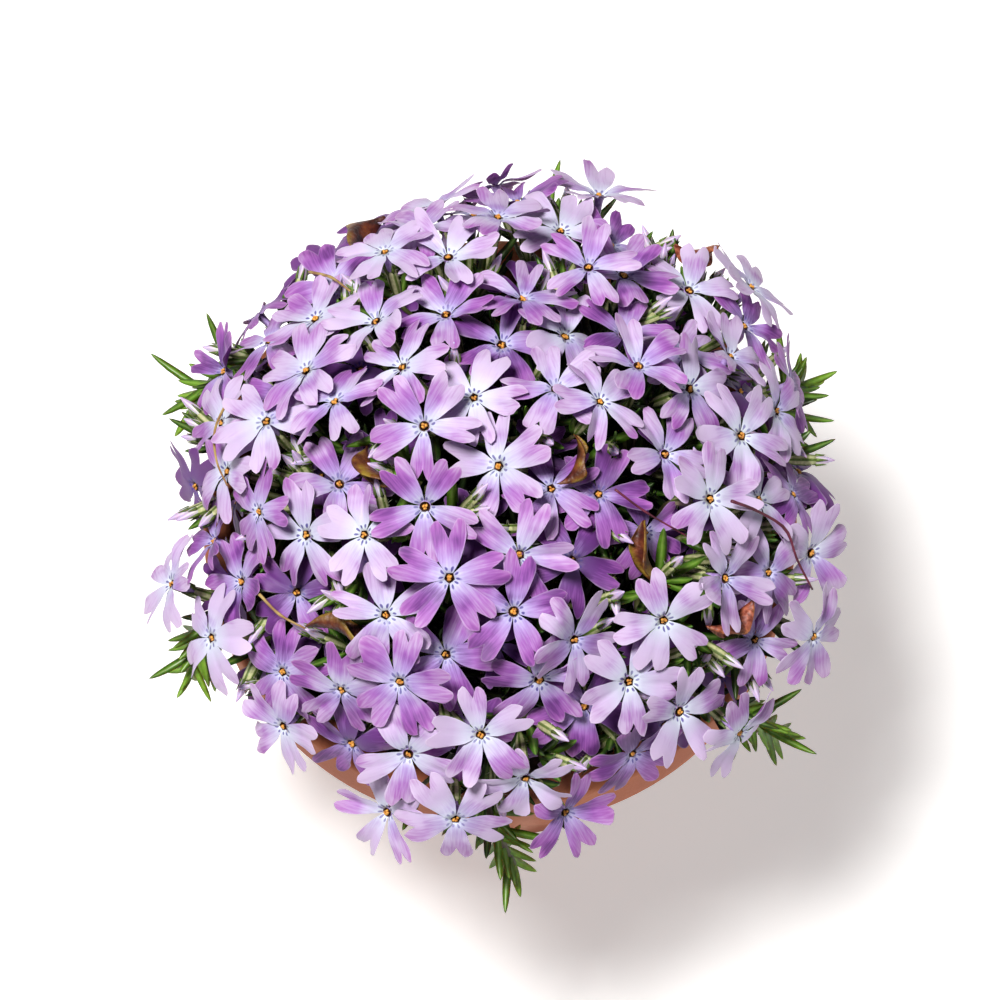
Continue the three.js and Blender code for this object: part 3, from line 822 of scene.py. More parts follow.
# A petal's grid, from its base to its tip and from side to side, and its half-width along it
PETAL_ROWS = np.array([0.0, 0.13, 0.27, 0.41, 0.55, 0.68, 0.79, 0.89, 0.98, 1.0])
HALF_COLUMNS = np.array([-1, -0.97, -0.87, -0.72, -0.54, -0.36, -0.16])
PETAL_COLUMNS = np.concatenate([HALF_COLUMNS, [0.0], -HALF_COLUMNS[::-1]])
WIDTH_PLACES = [0.08, 0.19, 0.26, 0.35, 0.58, 0.82, 1.0]
WIDTH_SHARES = [0.07, 0.142, 0.187, 0.228, 0.304, 0.363, 0.35]
PETAL_START = 0.74
PETAL_RIM_THICKNESS = 0.05
PETAL_BODY_THICKNESS = 0.12
SHOULDER = 0.76

# How much petals differ: fold in degrees (middle, spread, least, most), the others in millimetres
PETAL_FOLD = (6, 14, -12, 44)
PETAL_ROLL = (-0.5, 1.2)
PETAL_DROOP = (-0.9, 2.0)
PETAL_GROOVE = 0.14
PETAL_WAVE = 0.16

# Depth of colour of a bloom at the dome, the painted shade that each millimetre below it adds, and its
# spread
BLOOM_TONE = 0.2
BLOOM_PAINTED_SHADE_PER_DEPTH = 0.13
TONE_SPREAD = 0.24

# Tube and throat as (radius, height) for a bloom at scale 1: up the outside, over the lip, down inside
TUBE_OUTSIDE = [(0.45, -5.0), (0.6, -4.2), (0.64, -2.6), (0.74, -1.4), (0.9, -0.8), (1.05, -0.55)]
TUBE_INSIDE = [(0.92, -0.42), (0.78, -0.42), (0.64, -0.7), (0.56, -1.3), (0.42, -1.9)]
TUBE_SIDES = 14
GRAIN_ANGLES = np.array([0.35, 1.0, 1.57, 2.14, 2.8])


def petal_outline(notch, rng):
    """How far each column reaches, as a share of the limb: two lobes and a V between them."""
    column = np.abs(PETAL_COLUMNS)
    peak = rng.uniform(0.44, 0.62)
    beyond = np.clip((column - peak) / (1 - peak), 0, 1)
    lobe = SHOULDER + (1 - SHOULDER) * np.sqrt(1 - beyond**2)
    within = np.clip(column / peak, 0, 1)
    cleft = notch + (1 - notch) * (1 - (1 - within) ** rng.uniform(1.2, 2.1))
    outline = np.where(column < peak, cleft, lobe)
    outline = outline * (1 + rng.uniform(-0.09, 0.09) * PETAL_COLUMNS)
    ragged = rng.choice([0.004, 0.02], p=[0.75, 0.25])
    teeth = rng.normal(0, ragged, len(PETAL_COLUMNS))
    return outline + (0.014 * np.sin(PETAL_COLUMNS * 14 + rng.uniform(0, 6)) + teeth) * column


def petal_relief(share, column, width, rng):
    """Fold along the middle, rolled sides, groove, drooping tip, faint wave and twist: the height
    of each point, and how much the fold narrows the petal."""
    middle, fold_spread, least, most = PETAL_FOLD
    fold = math.radians(np.clip(rng.normal(middle, fold_spread), least, most))
    relief = np.abs(column) * width * math.sin(fold) * smooth(share, 0.15, 0.5)
    relief = relief - rng.uniform(*PETAL_ROLL) * column**2 * smooth(share, 0.2, 0.9)
    relief = relief - PETAL_GROOVE * np.exp(-((column / 0.16) ** 2)) * smooth(share, 0.2, 0.6)
    relief = relief - rng.uniform(*PETAL_DROOP) * np.clip((share - 0.45) / 0.55, 0, 1) ** 2
    relief = relief + PETAL_WAVE * np.sin(share * 11 + rng.uniform(0, 6)) * column**2
    relief = relief + column * width * math.tan(rng.normal(0, 0.17)) * smooth(share, 0.2, 0.8)
    return relief, math.cos(fold)


def petal(form, bloom, turn, tone, crowd, rng):
    """One wedge-shaped petal with two round lobes, closed all round."""
    cup, notch, breadth = bloom.corolla
    limb = LIMB_RADIUS * bloom.scale
    outline = petal_outline(notch + rng.uniform(-0.06, 0.05), rng)
    row, column = PETAL_ROWS[:, None], PETAL_COLUMNS[None, :]
    start = PETAL_START * bloom.scale
    along = start + (limb * outline[None, :] - start) * row
    share = along / limb
    width = np.interp(share, WIDTH_PLACES, WIDTH_SHARES) * limb * breadth * rng.uniform(0.78, 1.02)
    relief, narrowing = petal_relief(share, column, width, rng)
    aside = column * width * narrowing
    radius = np.hypot(along, aside)
    rise = (radius - HUB_RADIUS * bloom.scale) * math.tan(math.radians(cup + rng.normal(0, 3)))
    rise = rise + relief + 0.08 * column - 0.35 * np.exp(-(along - start) / 0.22)
    swing = turn + rng.normal(0, 0.045)
    x = along * math.cos(swing) - aside * math.sin(swing)
    y = along * math.sin(swing) + aside * math.cos(swing)
    top = crowd.parted(bloom, bloom.at(np.stack([x, y, rise], -1)), smooth(share, 0.2, 0.5))
    depth = PETAL_RIM_THICKNESS + PETAL_BODY_THICKNESS * (1 - column**2) * (1 - row**4)
    edge = np.maximum(np.abs(column), row**3)
    form.sheet(
        top,
        top - depth[..., None] * bloom.facing,
        PETAL,
        PETAL_BACK_SHADED,
        tone=tone,
        along=along / bloom.scale / 10,
        across=column * width / bloom.scale / 10,
        mark=edge * smooth(share, 0.2, 0.35),
    )


def grain(form, centre, way, radius, stretch, material):
    """A small rounded body, stretched along its way."""
    centres = centre - np.outer(np.cos(GRAIN_ANGLES) * radius * stretch, way)
    form.tube(rings_along(centres, np.sin(GRAIN_ANGLES) * radius, 6), material)


def anthers(form, bloom, rng):
    """Three or four orange anthers in the mouth of the tube."""
    turn = rng.uniform(0, 6)
    count = rng.integers(3, 5)
    for k in range(count):
        angle = turn + k * 2 * math.pi / count + rng.normal(0, 0.3)
        reach = rng.uniform(0.22, 0.36)
        place = np.array([reach * math.cos(angle), reach * math.sin(angle), rng.uniform(-0.5, -0.1)])
        size = rng.uniform(0.21, 0.3) * bloom.scale
        grain(form, bloom.at(place * bloom.scale), leaning(bloom.facing, 0.8, rng), size, 1.5, POLLEN)


def corolla(form, bloom, crowd, rng):
    """Five petals on a tube, and the anthers in its throat."""
    # Blooms lying lower under the dome get a deeper colour: painted shade. The spread is random tone.
    depth = max(0.0, dome_height(bloom.hub) - bloom.hub[2])
    tone = max(0.0, rng.normal(BLOOM_TONE + BLOOM_PAINTED_SHADE_PER_DEPTH * depth, TONE_SPREAD))
    for k in range(5):
        petal(form, bloom, k * FIFTH, tone + rng.uniform(0, 0.2), crowd, rng)
    rings = lathe(np.array(TUBE_OUTSIDE + TUBE_INSIDE) * bloom.scale, TUBE_SIDES)
    form.tube(bloom.at(rings), [TUBE] * len(TUBE_OUTSIDE) + [THROAT] * (len(TUBE_INSIDE) - 1))
    anthers(form, bloom, rng)


# Calyces and buds: radii along each, with five ribs or furled petals round it
CALYX_SIDES = 15
FIVE_WAVES = np.arange(CALYX_SIDES) * 2 * math.pi * 5 / CALYX_SIDES
CALYX_WIDTHS = [0.42, 0.7, 0.9, 0.98, 1.0, 0.96, 0.88]
CALYX_GIRTH = 0.98
RIB_DEPTH = 0.09
TOOTH_WIDTHS = [0.34, 0.26, 0.14, 0.04]
TOOTH_LENGTHS = (1.7, 2.3)
OPEN_TEETH = 0.15
SHUT_TEETH = 0.05
HAIRS = 22
HAIR_LENGTHS = (0.45, 0.95)
BUD_WIDTHS = [0.6, 0.72, 0.8, 0.82, 0.8, 0.7, 0.54, 0.32, 0.1]
BUD_GROOVE_DEPTH = 0.1
BUD_TWIST = 3.2
BUD_CALYX_SHARE = 0.62
STALK_RINGS = 7
BLOOM_STALK_RADIUS = 0.36
BUD_STALK_RADIUS = 0.34


def ribbed(form, base, way, length, tone):
    """The five-ribbed body of a calyx, given back as its rings."""
    widths = np.array(CALYX_WIDTHS) * CALYX_GIRTH
    shares = np.linspace(0, 1, len(widths))
    ridge = np.cos(FIVE_WAVES)
    rings = rings_along(base + np.outer(shares * length, way), widths, CALYX_SIDES)
    rings = fluted(rings, ridge, RIB_DEPTH)
    ribs = np.tile(0.5 + 0.5 * ridge, (len(widths), 1))
    form.tube(rings, CALYX, tone=tone, along=shares, mark=ribs)
    return rings


def hair(form, root, way, length):
    ring = rings_along([root - way * 0.1, root + way * length * 0.5], [0.035, 0.025], 3)
    form.tube(ring, HAIR, tip=root + way * length)


def calyx(form, base, way, length, tone, opening, rng):
    """Ribbed body, five pointed teeth and fine white hairs."""
    rings = ribbed(form, base, way, length, tone)
    mouth = rings[-1]
    middle = mouth.mean(0)
    shares = np.linspace(0, 1, len(TOOTH_WIDTHS))
    for k in range(5):
        root = mouth[k * CALYX_SIDES // 5]
        outward = unit(root - middle)
        lean = unit(way + outward * math.tan(opening + rng.normal(0, 0.08)))
        centres = root - outward * 0.1 + np.outer(shares * rng.uniform(*TOOTH_LENGTHS), lean)
        tooth = rings_along(centres, TOOTH_WIDTHS, 4)
        form.tube(tooth, CALYX, tone=tone, along=0.6 + shares * 0.3, mark=0.9)
    for _ in range(HAIRS):
        row, side = rng.integers(1, len(rings)), rng.integers(0, CALYX_SIDES)
        root = rings[row, side]
        outward = unit(root - rings[row].mean(0))
        hair(form, root, unit(outward + way * rng.uniform(0.1, 0.9)), rng.uniform(*HAIR_LENGTHS))


def stalk(form, start, way_out, end, way_in, radius):
    """A thin stalk that leaves along one way and arrives along another."""
    pull = np.linalg.norm(end - start) * 0.35
    shares = np.linspace(0, 1, STALK_RINGS)
    centres = bezier(start, start + way_out * pull, end - way_in * pull, end, shares)
    radii = np.linspace(radius, radius * 1.15, STALK_RINGS)
    form.tube(rings_along(centres, radii, 6), STEM, tone=0.5)


def bud(form, start, leave, tip, way, length, rng):
    """A furled bud in its calyx: the last part is the spiral of petals."""
    base = tip - way * length
    tone = rng.uniform(0, 0.7)
    stalk(form, start, leave, base, way, BUD_STALK_RADIUS)
    calyx(form, base, way, length * BUD_CALYX_SHARE, tone, SHUT_TEETH, rng)
    shares = np.linspace(0, 1, len(BUD_WIDTHS))
    centres = base + np.outer(length * (0.45 + 0.55 * shares), way)
    groove = np.cos(FIVE_WAVES + shares[:, None] * BUD_TWIST)
    rings = fluted(rings_along(centres, BUD_WIDTHS, CALYX_SIDES), groove, BUD_GROOVE_DEPTH)
    form.tube(rings, FURLED, tone=rng.uniform(0, 1), along=shares, mark=0.5 + 0.5 * groove)


# An awl leaf: its width at shares of its length, its bend, and how it is cut short and darkened with
# depth as painted shade
LEAF_WIDTHS = np.array([0.7, 0.92, 1.0, 0.9, 0.66, 0.34])
LEAF_SHARES = np.array([0.0, 0.2, 0.42, 0.64, 0.82, 0.94])
LEAF_BEND = 0.08
LEAF_KEEL = 0.16
LEAF_CHANNEL = 0.05
CAD_LEAF_WIDTH = 1.5
LEAST_LEAF = 3.5
LEAF_HEADROOM = 1.5
LEAF_PAINTED_SHADE_PER_DEPTH = 0.035
SHADED_INSET = 15.0
RIM_CLEARANCE = 2.5

# Leafy growth: a stem's radius, its leaves' spacing and lengths, its bare share, how far they open
MAIN_STEM = dict(radius=1.05, spacing=2.1, lengths=(8, 12), bare=0.3, opening=0.95)
SIDE_BRANCH = dict(radius=0.5, spacing=1.7, lengths=(7, 11), bare=0.15, opening=0.95)
HANGING_SHOOT = dict(radius=1.0, spacing=1.6, lengths=(7, 11.5), bare=0.3, opening=0.85)


def awl_leaf(form, foot, tip, width, tone):
    """A narrow pointed leaf with a channel above and a keel below."""
    run = tip - foot
    length = np.linalg.norm(run)
    way = run / length
    across = across_of(way)
    rise = np.cross(across, way)
    if rise[2] < 0:
        across, rise = -across, -rise
    sag = 4 * LEAF_BEND * length * (LEAF_SHARES - LEAF_SHARES**2)
    centres = foot + np.outer(LEAF_SHARES, run) - np.outer(sag, rise)
    half = width / 2 * LEAF_WIDTHS
    rings = np.stack(
        [
            centres - across * half[:, None],
            centres - rise * (0.22 * half)[:, None] - rise * LEAF_KEEL,
            centres + across * half[:, None],
            centres + rise * LEAF_CHANNEL,
        ],
        1,
    )
    rib = np.tile([0.0, 0.4, 0.0, 1.0], (len(half), 1))
    form.tube(rings, LEAF, tip=tip, tone=tone, along=LEAF_SHARES, mark=rib)


def in_pot_wall(point):
    """Whether a point is in the pot's rim or too near to it."""
    radius = math.hypot(point[0], point[1])
    inner = POT_RIM_RADIUS - POT_WALL - RIM_CLEARANCE
    return point[2] < POT_HEIGHT + 1.2 and inner < radius < POT_RIM_RADIUS + 0.6


def free_leaf(form, crowd, foot, way, length, width, tone):
    """An awl leaf, cut short where it would meet a bloom, and left out where it would be a stub."""
    tip = foot + way * length
    length *= crowd.clear_share(foot, tip)
    over = foot[2] + way[2] * length - dome_height(foot + way * length) - LEAF_HEADROOM
    if over > 0 and way[2] > 0.05:
        length -= over / way[2]
    if length < LEAST_LEAF:
        return
    tip = foot + way * length
    if in_pot_wall(tip) or in_pot_wall((foot + tip) / 2):
        return
    # Leaves deep under the blooms, inside the dome's edge, are darkened: painted shade
    depth = dome_height(foot) - (foot[2] + tip[2]) / 2
    inside = smooth(math.hypot(foot[0], foot[1]), DOME_RADIUS, DOME_RADIUS - SHADED_INSET)
    shaded = tone + depth * LEAF_PAINTED_SHADE_PER_DEPTH * inside
    awl_leaf(form, foot, tip, width, float(np.clip(shaded, 0, 1)))


def leafy_run(form, crowd, centres, age, rng, radius, spacing, lengths, bare, opening):
    """A stem along a line of centres, with crossed pairs of leaves beyond its bare share."""
    form.tube(rings_along(centres, np.linspace(radius, radius * 0.6, len(centres)), 7), STEM, tone=age)
    route = Route(centres)
    place = route.length * bare
    turn = rng.uniform(0, math.pi)
    while place < route.length:
        foot = route.at(place)
        way = unit(route.at(place + 1) - route.at(place - 1))
        across = beside(way, turn)
        share = place / route.length
        for side in (-1, 1):
            angle = opening * (1.15 - 0.5 * share) + rng.normal(0, 0.12)
            out = unit(way * math.cos(angle) + side * across * math.sin(angle))
            length = rng.uniform(*lengths) * (1 - 0.25 * share)
            tone = np.clip(age + 0.5 * (1 - share) + rng.normal(0, 0.14) - 0.3 * share, 0, 1)
            free_leaf(form, crowd, foot, out, length, rng.uniform(1.15, 1.6), tone)
        turn += math.pi / 2
        place += spacing * rng.uniform(0.85, 1.15)


# How petals of crossing blooms are parted: the softness, the least gap and the most that one moves
PARTING = 0.6
LEAST_PARTING = 0.25
MOST_PARTING = 5.0


def evened(grid):
    """Each value of a grid (rows, columns, 3) averaged with the ones beside it."""
    padded = np.pad(grid, ((1, 1), (1, 1), (0, 0)), mode="edge")
    rows = (padded[:-2] + 2 * padded[1:-1] + padded[2:]) / 4
    return (rows[:, :-2] + 2 * rows[:, 1:-1] + rows[:, 2:]) / 4


class Crowd:
    """All the blooms as shallow discs, so that their petals lie over or under each other, and
    leaves and buds end below them or rise between them."""

    def __init__(self, blooms):
        self.hubs = np.array([bloom.hub for bloom in blooms])
        self.facings = np.array([bloom.facing for bloom in blooms])
        self.radii = np.array([bloom.scale * LIMB_RADIUS * 0.96 for bloom in blooms])
        self.slopes = np.array([math.tan(math.radians(bloom.corolla[0])) for bloom in blooms])

    def gap_at(self, point, normal):
        """How far aside of the nearest bloom's middle a line along normal through point runs."""
        away = self.hubs - point
        aside = away - np.outer(away @ normal, normal)
        return np.linalg.norm(aside, axis=1).min()

    def covers(self, point):
        """Whether a bloom lies over a point."""
        away = point - self.hubs
        above = (away * self.facings).sum(1)
        aside = np.linalg.norm(away - self.facings * above[:, None], axis=1)
        return bool(((above < 0) & (above > -15) & (aside < self.radii * 0.8)).any())

    def parted(self, bloom, surface, share):
        """A petal's points, with a share of each moved to lie over the lower blooms that it
        crosses and under the higher ones."""
        apart = bloom.hub - self.hubs
        distance = np.linalg.norm(apart, axis=1)
        alike = self.facings @ bloom.facing
        crossing = (distance > 0.1) & (distance < 2.2 * LIMB_RADIUS) & (alike > 0.3)
        shift = np.zeros(surface.shape)
        for k in np.flatnonzero(crossing):
            facing = self.facings[k]
            away = surface + shift - self.hubs[k]
            above = away @ facing
            aside = np.linalg.norm(away - above[..., None] * facing, axis=-1)
            inside = smooth(self.radii[k] * 1.12 - aside, 0.0, 3.0) * share
            side = 1 if np.dot(apart[k], facing + bloom.facing) > 0 else -1
            clear = side * (above - (aside - HUB_RADIUS) * self.slopes[k]) - LEAST_PARTING
            move = (np.sqrt(clear**2 + 4 * PARTING**2) - clear) / 2
            move = MOST_PARTING * np.tanh(move / MOST_PARTING)
            shift = shift + (move * side * inside * smooth(alike[k], 0.3, 0.7))[..., None] * facing
        return surface + evened(evened(shift))

    def top_at(self, x, y):
        """The height of the highest bloom over a place, or of the dome where there is none."""
        height = self.hubs[:, 2] - (
            self.facings[:, 0] * (x - self.hubs[:, 0]) + self.facings[:, 1] * (y - self.hubs[:, 1])
        ) / self.facings[:, 2].clip(0.3)
        over = np.hypot(x - self.hubs[:, 0], y - self.hubs[:, 1]) < self.radii * 0.9
        return float(height[over].max()) if over.any() else dome_height((x, y)) - 4

    def clear_share(self, foot, tip, margin=1.0):
        """The share of the way from foot to tip that stays under every disc that it would cross."""
        low = ((foot - self.hubs) * self.facings).sum(1)
        high = ((tip - self.hubs) * self.facings).sum(1)
        crossing = (low < 0) & (high > -margin)
        if not crossing.any():
            return 1.0
        share = np.clip((-margin - low[crossing]) / (high - low)[crossing], 0, 1)
        point = foot + share[:, None] * (tip - foot)
        away = point - self.hubs[crossing]
        flat = away - self.facings[crossing] * (away * self.facings[crossing]).sum(1)[:, None]
        inside = np.linalg.norm(flat, axis=1) < self.radii[crossing]
        return float(share[inside].min()) if inside.any() else 1.0


# Shaded blooms under the gaps in the top layer, and fans of buds that lean across such gaps
SHADED_ATTEMPTS = 6000
SHADED_REACH = 0.96
SHADED_DEPTHS = (6.5, 11.0)
SHADED_GAP = 7.4
SHADED_SPACING = 13.5
SHADED_SCALES = (0.74, 0.92)
SPRAY_ATTEMPTS = 14000
SPRAY_REACH = 0.9
SPRAY_DEPTHS = (8, 11)
SPRAY_SPACING = 7.5
SPRAY_WAYS = (-0.9, -0.45, 0.0, 0.45, 0.9)
SPRAY_LENGTHS = (9.5, 12.5)
SPRAY_MARGIN = 1.4
SPRAY_LEAVES = 4

# Side branches: where they leave the stem, how many there, how long and how far they lean out
BRANCH_SHARES = (0.42, 0.54, 0.66, 0.78, 0.9)
BRANCHES_AT_EACH = 2
BRANCH_LENGTHS = (7, 13)
BRANCH_LEANS = (0.9, 1.5)

# Smaller buds round each bud of the CAD: the ways they turn, and their gap to the blooms
SISTER_TURNS = (0.0, 2.1, 4.2)
SISTER_MARGIN = 1.2


def shaded_blooms(stems, crowd, rng):
    """Small blooms under the top layer, only where a gap in it shows them, for each cluster."""
    found = {name: [] for name in stems}
    hubs = []
    for _ in range(SHADED_ATTEMPTS):
        hub, normal = under_dome(SHADED_REACH, SHADED_DEPTHS, rng)
        if crowd.gap_at(hub, normal) < SHADED_GAP or too_near(hub, hubs, SHADED_SPACING):
            continue
        facing = leaning(normal, rng.uniform(0, 0.5), rng)
        side = beside(facing, rng.uniform(0, FIFTH))
        bloom = Bloom(hub, facing, side, rng.uniform(*SHADED_SCALES))
        bloom.corolla = COROLLAS[rng.integers(0, 3)]
        hubs.append(hub)
        found[nearest_stem(stems, hub)].append(bloom)
    return found


def spray_tips(start, normal, crowd, rng):
    """The tips of a fan of buds that stand free in a gap between the blooms."""
    heading = rng.uniform(0, FULL_TURN)
    tips = []
    for way_aside in SPRAY_WAYS:
        across = beside(normal, heading + way_aside)
        way = unit(normal + across * rng.uniform(0.4, 1.6))
        length = rng.uniform(*SPRAY_LENGTHS)
        tip = start + way * length
        seen = not crowd.covers(tip) and not crowd.covers(tip - way * length * 0.35)
        if seen and crowd.clear_share(start, tip, SPRAY_MARGIN) == 1.0:
            tips.append(tip)
    return tips


def bud_sprays(stems, crowd, rng):
    """Fans of buds that lean across gaps in the top layer: (start, tips) for each cluster."""
    found = {name: [] for name in stems}
    starts = []
    for _ in range(SPRAY_ATTEMPTS):
        start, normal = under_dome(SPRAY_REACH, SPRAY_DEPTHS, rng)
        if too_near(start, starts, SPRAY_SPACING):
            continue
        tips = spray_tips(start, normal, crowd, rng)
        if tips:
            starts.append(start)
            found[nearest_stem(stems, start)].append((start, tips))
    return found


def build_blooms(name, node, blooms, crowd, rng):
    form = Form()
    for bloom in blooms:
        corolla(form, bloom, crowd, rng)
    return form.piece(name, "petals", node)


def build_branch(form, crowd, start, way, length, age, rng):
    """A short leafy side branch that rises as it goes."""
    end = start + way * length + UP * length * rng.uniform(0.1, 0.35)
    if in_pot_wall(end) or in_pot_wall((start + end) / 2):
        return
    leaving = start + way * length * 0.4
    arriving = end - unit(way + UP) * length * 0.3
    centres = bezier(start, leaving, arriving, end, np.linspace(0, 1, 9))
    leafy_run(form, crowd, centres, age, rng, **SIDE_BRANCH)


def build_spray(form, stem, start, tips, crowd, rng):
    """A fan of buds and fresh leaves on one stalk."""
    foot = stem.at(0.8)[0]
    stalk(form, foot, stem.normal, start, unit(start - foot), 0.5)
    for tip in tips:
        way = unit(tip - start)
        bud(form, start, way, tip, way, np.linalg.norm(tip - start) * rng.uniform(0.82, 0.95), rng)
    for _ in range(SPRAY_LEAVES):
        way = leaning(unit(tips[0] - start), rng.uniform(0.3, 0.9), rng)
        free_leaf(form, crowd, start, way, rng.uniform(8, 13), rng.uniform(1.4, 1.9), 0.0)


def build_stem(form, stem, crowd, rng):
    """A cluster's leafy stem with its side branches, older and darker towards the soil."""
    leafy_run(form, crowd, stem.at(np.linspace(0, 1, 16)), 0.45, rng, **MAIN_STEM)
    for share in BRANCH_SHARES:
        for _ in range(BRANCHES_AT_EACH):
            out = leaning(stem.normal, rng.uniform(*BRANCH_LEANS), rng)
            length = rng.uniform(*BRANCH_LENGTHS)
            build_branch(form, crowd, stem.at(share)[0], out, length, 0.75 - 0.5 * share, rng)


def build_bloom_seat(form, stem, bloom, crowd, rng):
    """The calyx that a bloom sits in, its stalk and a pair of leaves."""
    way = bloom.facing
    seat = bloom.hub - way * (bloom.scale * TUBE_LENGTH + SEAT_GAP)
    base = seat - way * bloom.scale * CALYX_LENGTH
    start = stem.stalk_start(base)
    stalk(form, start, unit(base - start), base, way, BLOOM_STALK_RADIUS)
    calyx(form, base, way, CALYX_LENGTH * bloom.scale + 0.6, rng.uniform(0, 0.9), OPEN_TEETH, rng)
    pair = beside(way, rng.uniform(0, math.pi))
    for side in (-1, 1):
        out = unit(way + side * pair * rng.uniform(0.4, 0.9))
        size = rng.uniform(8, 14), rng.uniform(1.3, 1.8)
        free_leaf(form, crowd, base, out, *size, rng.uniform(0, 0.3))


def build_bud_trio(form, stem, tip, way, length, crowd, rng):
    """A bud of the CAD, and smaller ones beside it where there is room."""
    bud(form, stem.stalk_start(tip - way * length), stem.normal, tip, way, length, rng)
    base = tip - way * length * 0.95
    for turn in SISTER_TURNS:
        axis = beside(way, turn + rng.uniform(-0.4, 0.4))
        lean = unit(turned(way, axis, rng.uniform(0.2, 0.65)))
        reach = length * rng.uniform(0.75, 1.0)
        sister_tip = base + lean * (reach + 1.5)
        if crowd.clear_share(base, sister_tip, SISTER_MARGIN) == 1.0:
            bud(form, tip - way * (length + 1.0), way, sister_tip, lean, reach, rng)


def build_cad_leaves(form, leaves, rng):
    for tip, foot in leaves:
        awl_leaf(form, foot, tip, CAD_LEAF_WIDTH, rng.uniform(0.05, 0.4))


def build_shoot(name, node, stem, blooms, sprays, crowd, rng):
    """Everything green of a cluster: stem, branches, leaves, buds, and its blooms' calyces."""
    form = Form()
    for start, tips in sprays:
        build_spray(form, stem, start, tips, crowd, rng)
    build_stem(form, stem, crowd, rng)
    for bloom in blooms:
        build_bloom_seat(form, stem, bloom, crowd, rng)
    buds, leaves = buds_and_leaves_in(node)
    for tip, way, length in buds:
        build_bud_trio(form, stem, tip, way, length, crowd, rng)
    build_cad_leaves(form, leaves, rng)
    return form.piece(name, "foliage", node)


# A hanging shoot ends this far outside the rim and this far round from where it is rooted
HANG_REACH = 8.0
HANG_SWING = 0.16


def build_trailing_shoot(name, node, crowd, rng):
    """A leafy shoot from the soil over the rim, hanging outside it."""
    welded = Welded(node)
    sunk = welded.sunk_end()
    angle = math.atan2(sunk[1], sunk[0])

    def at(radius, height, swing=0.0):
        return outward_at(angle + swing) * radius + UP * height

    last = at(POT_RIM_RADIUS + HANG_REACH, 0, HANG_SWING)
    flat = np.linalg.norm(welded.points[:, :2] - last[:2], axis=1)
    end_height = welded.points[flat.argmin(), 2]
    places = [
        sunk,
        at(TRAILING_ROOT_RADIUS + 0.4, sunk[2] + STEM_HOLE_DEPTH - SEAT_GAP + 4),
        at(POT_RIM_RADIUS - 4.5, POT_HEIGHT + 3.2, 0.04),
        at(POT_RIM_RADIUS + 3.5, POT_HEIGHT + 0.5, 0.1),
        at(POT_RIM_RADIUS + HANG_REACH, end_height, HANG_SWING),
    ]
    form = Form()
    leafy_run(form, crowd, catmull_rom(places, 25), 0.2, rng, **HANGING_SHOOT)
    build_cad_leaves(form, buds_and_leaves_in(node)[1], rng)
    return form.piece(name, "foliage", node)


# Dry leaves: the arch and the twist of one from end to end, in radians, and its thickness
DRY_LEAF_ROWS = 26
DRY_LEAF_COLUMNS = 13
DRY_LEAF_ARCH = 1.7
DRY_LEAF_TWIST = 1.2
DRY_LEAF_THICKNESS = 0.24
RUSTY_LEAVES = ("5", "6")
RUSTY_TONE = 0.9
BROWN_TONE = 0.2

# Thin dry stalks that lie on the blooms: places seen from above along each, and thickness
STRAWS = [
    ([(-46.5, 12.0), (-48.5, 6.0), (-48.0, 0.0), (-46.0, -5.0)], 0.26),
    ([(-33.0, 36.0), (-29.0, 33.0), (-25.5, 28.5)], 0.3),
    ([(-40.5, -23.0), (-37.0, -26.5), (-32.5, -29.0)], 0.28),
]
TWIGS = [
    ([(38.5, -10.5), (43.0, -10.8), (48.0, -12.6), (50.2, -16.6), (53.0, -20.5)], 0.3),
    ([(19.0, -10.0), (24.0, -13.0), (31.0, -16.5)], 0.22),
]


def dry_leaf_frame(points):
    """A CAD dry leaf's middle, its long, wide and outer directions, its length and its width."""
    centre = points.mean(0)
    axes = np.linalg.svd(points - centre)[2]
    long_way, wide_way, normal = axes
    local = (points - centre) @ axes.T
    length = np.ptp(local[:, 0])
    far = np.abs(local[:, 0]) > 0.35 * length
    if local[~far, 2].mean() < local[far, 2].mean():
        normal = -normal
    return centre, (long_way, wide_way, normal), length, np.ptp(local[:, 1])


def dry_leaf_section(share, side, width, rng):
    """How far aside and how high each point of a rolled, ragged and twisted leaf lies."""
    half = width / 2 * (np.sin(math.pi * np.clip(share, 0.02, 0.98)) ** 0.8)
    curl = 1.5 + 0.3 * np.sin(share * 5 + rng.uniform(0, 6))
    phase = rng.uniform(0, 6, 3)
    ripple = np.sin(share * 9 + phase[0]) + 0.6 * np.sin(share * 17 + phase[1] + side * 2)
    ripple = 1 + 0.13 * ripple * np.abs(side) + 0.22 * side * np.sin(share * 5 + phase[0])
    across = half * np.sin(side * curl) * ripple
    lift = half * (1 - np.cos(side * curl)) * 0.95 * ripple
    lift = lift + 0.35 * np.sin(share * 11 + phase[2] + side) * np.abs(side)
    twist = (share - 0.5) * DRY_LEAF_TWIST * rng.choice([-1, 1])
    return (
        across * np.cos(twist) - lift * np.sin(twist),
        across * np.sin(twist) + lift * np.cos(twist),
    )


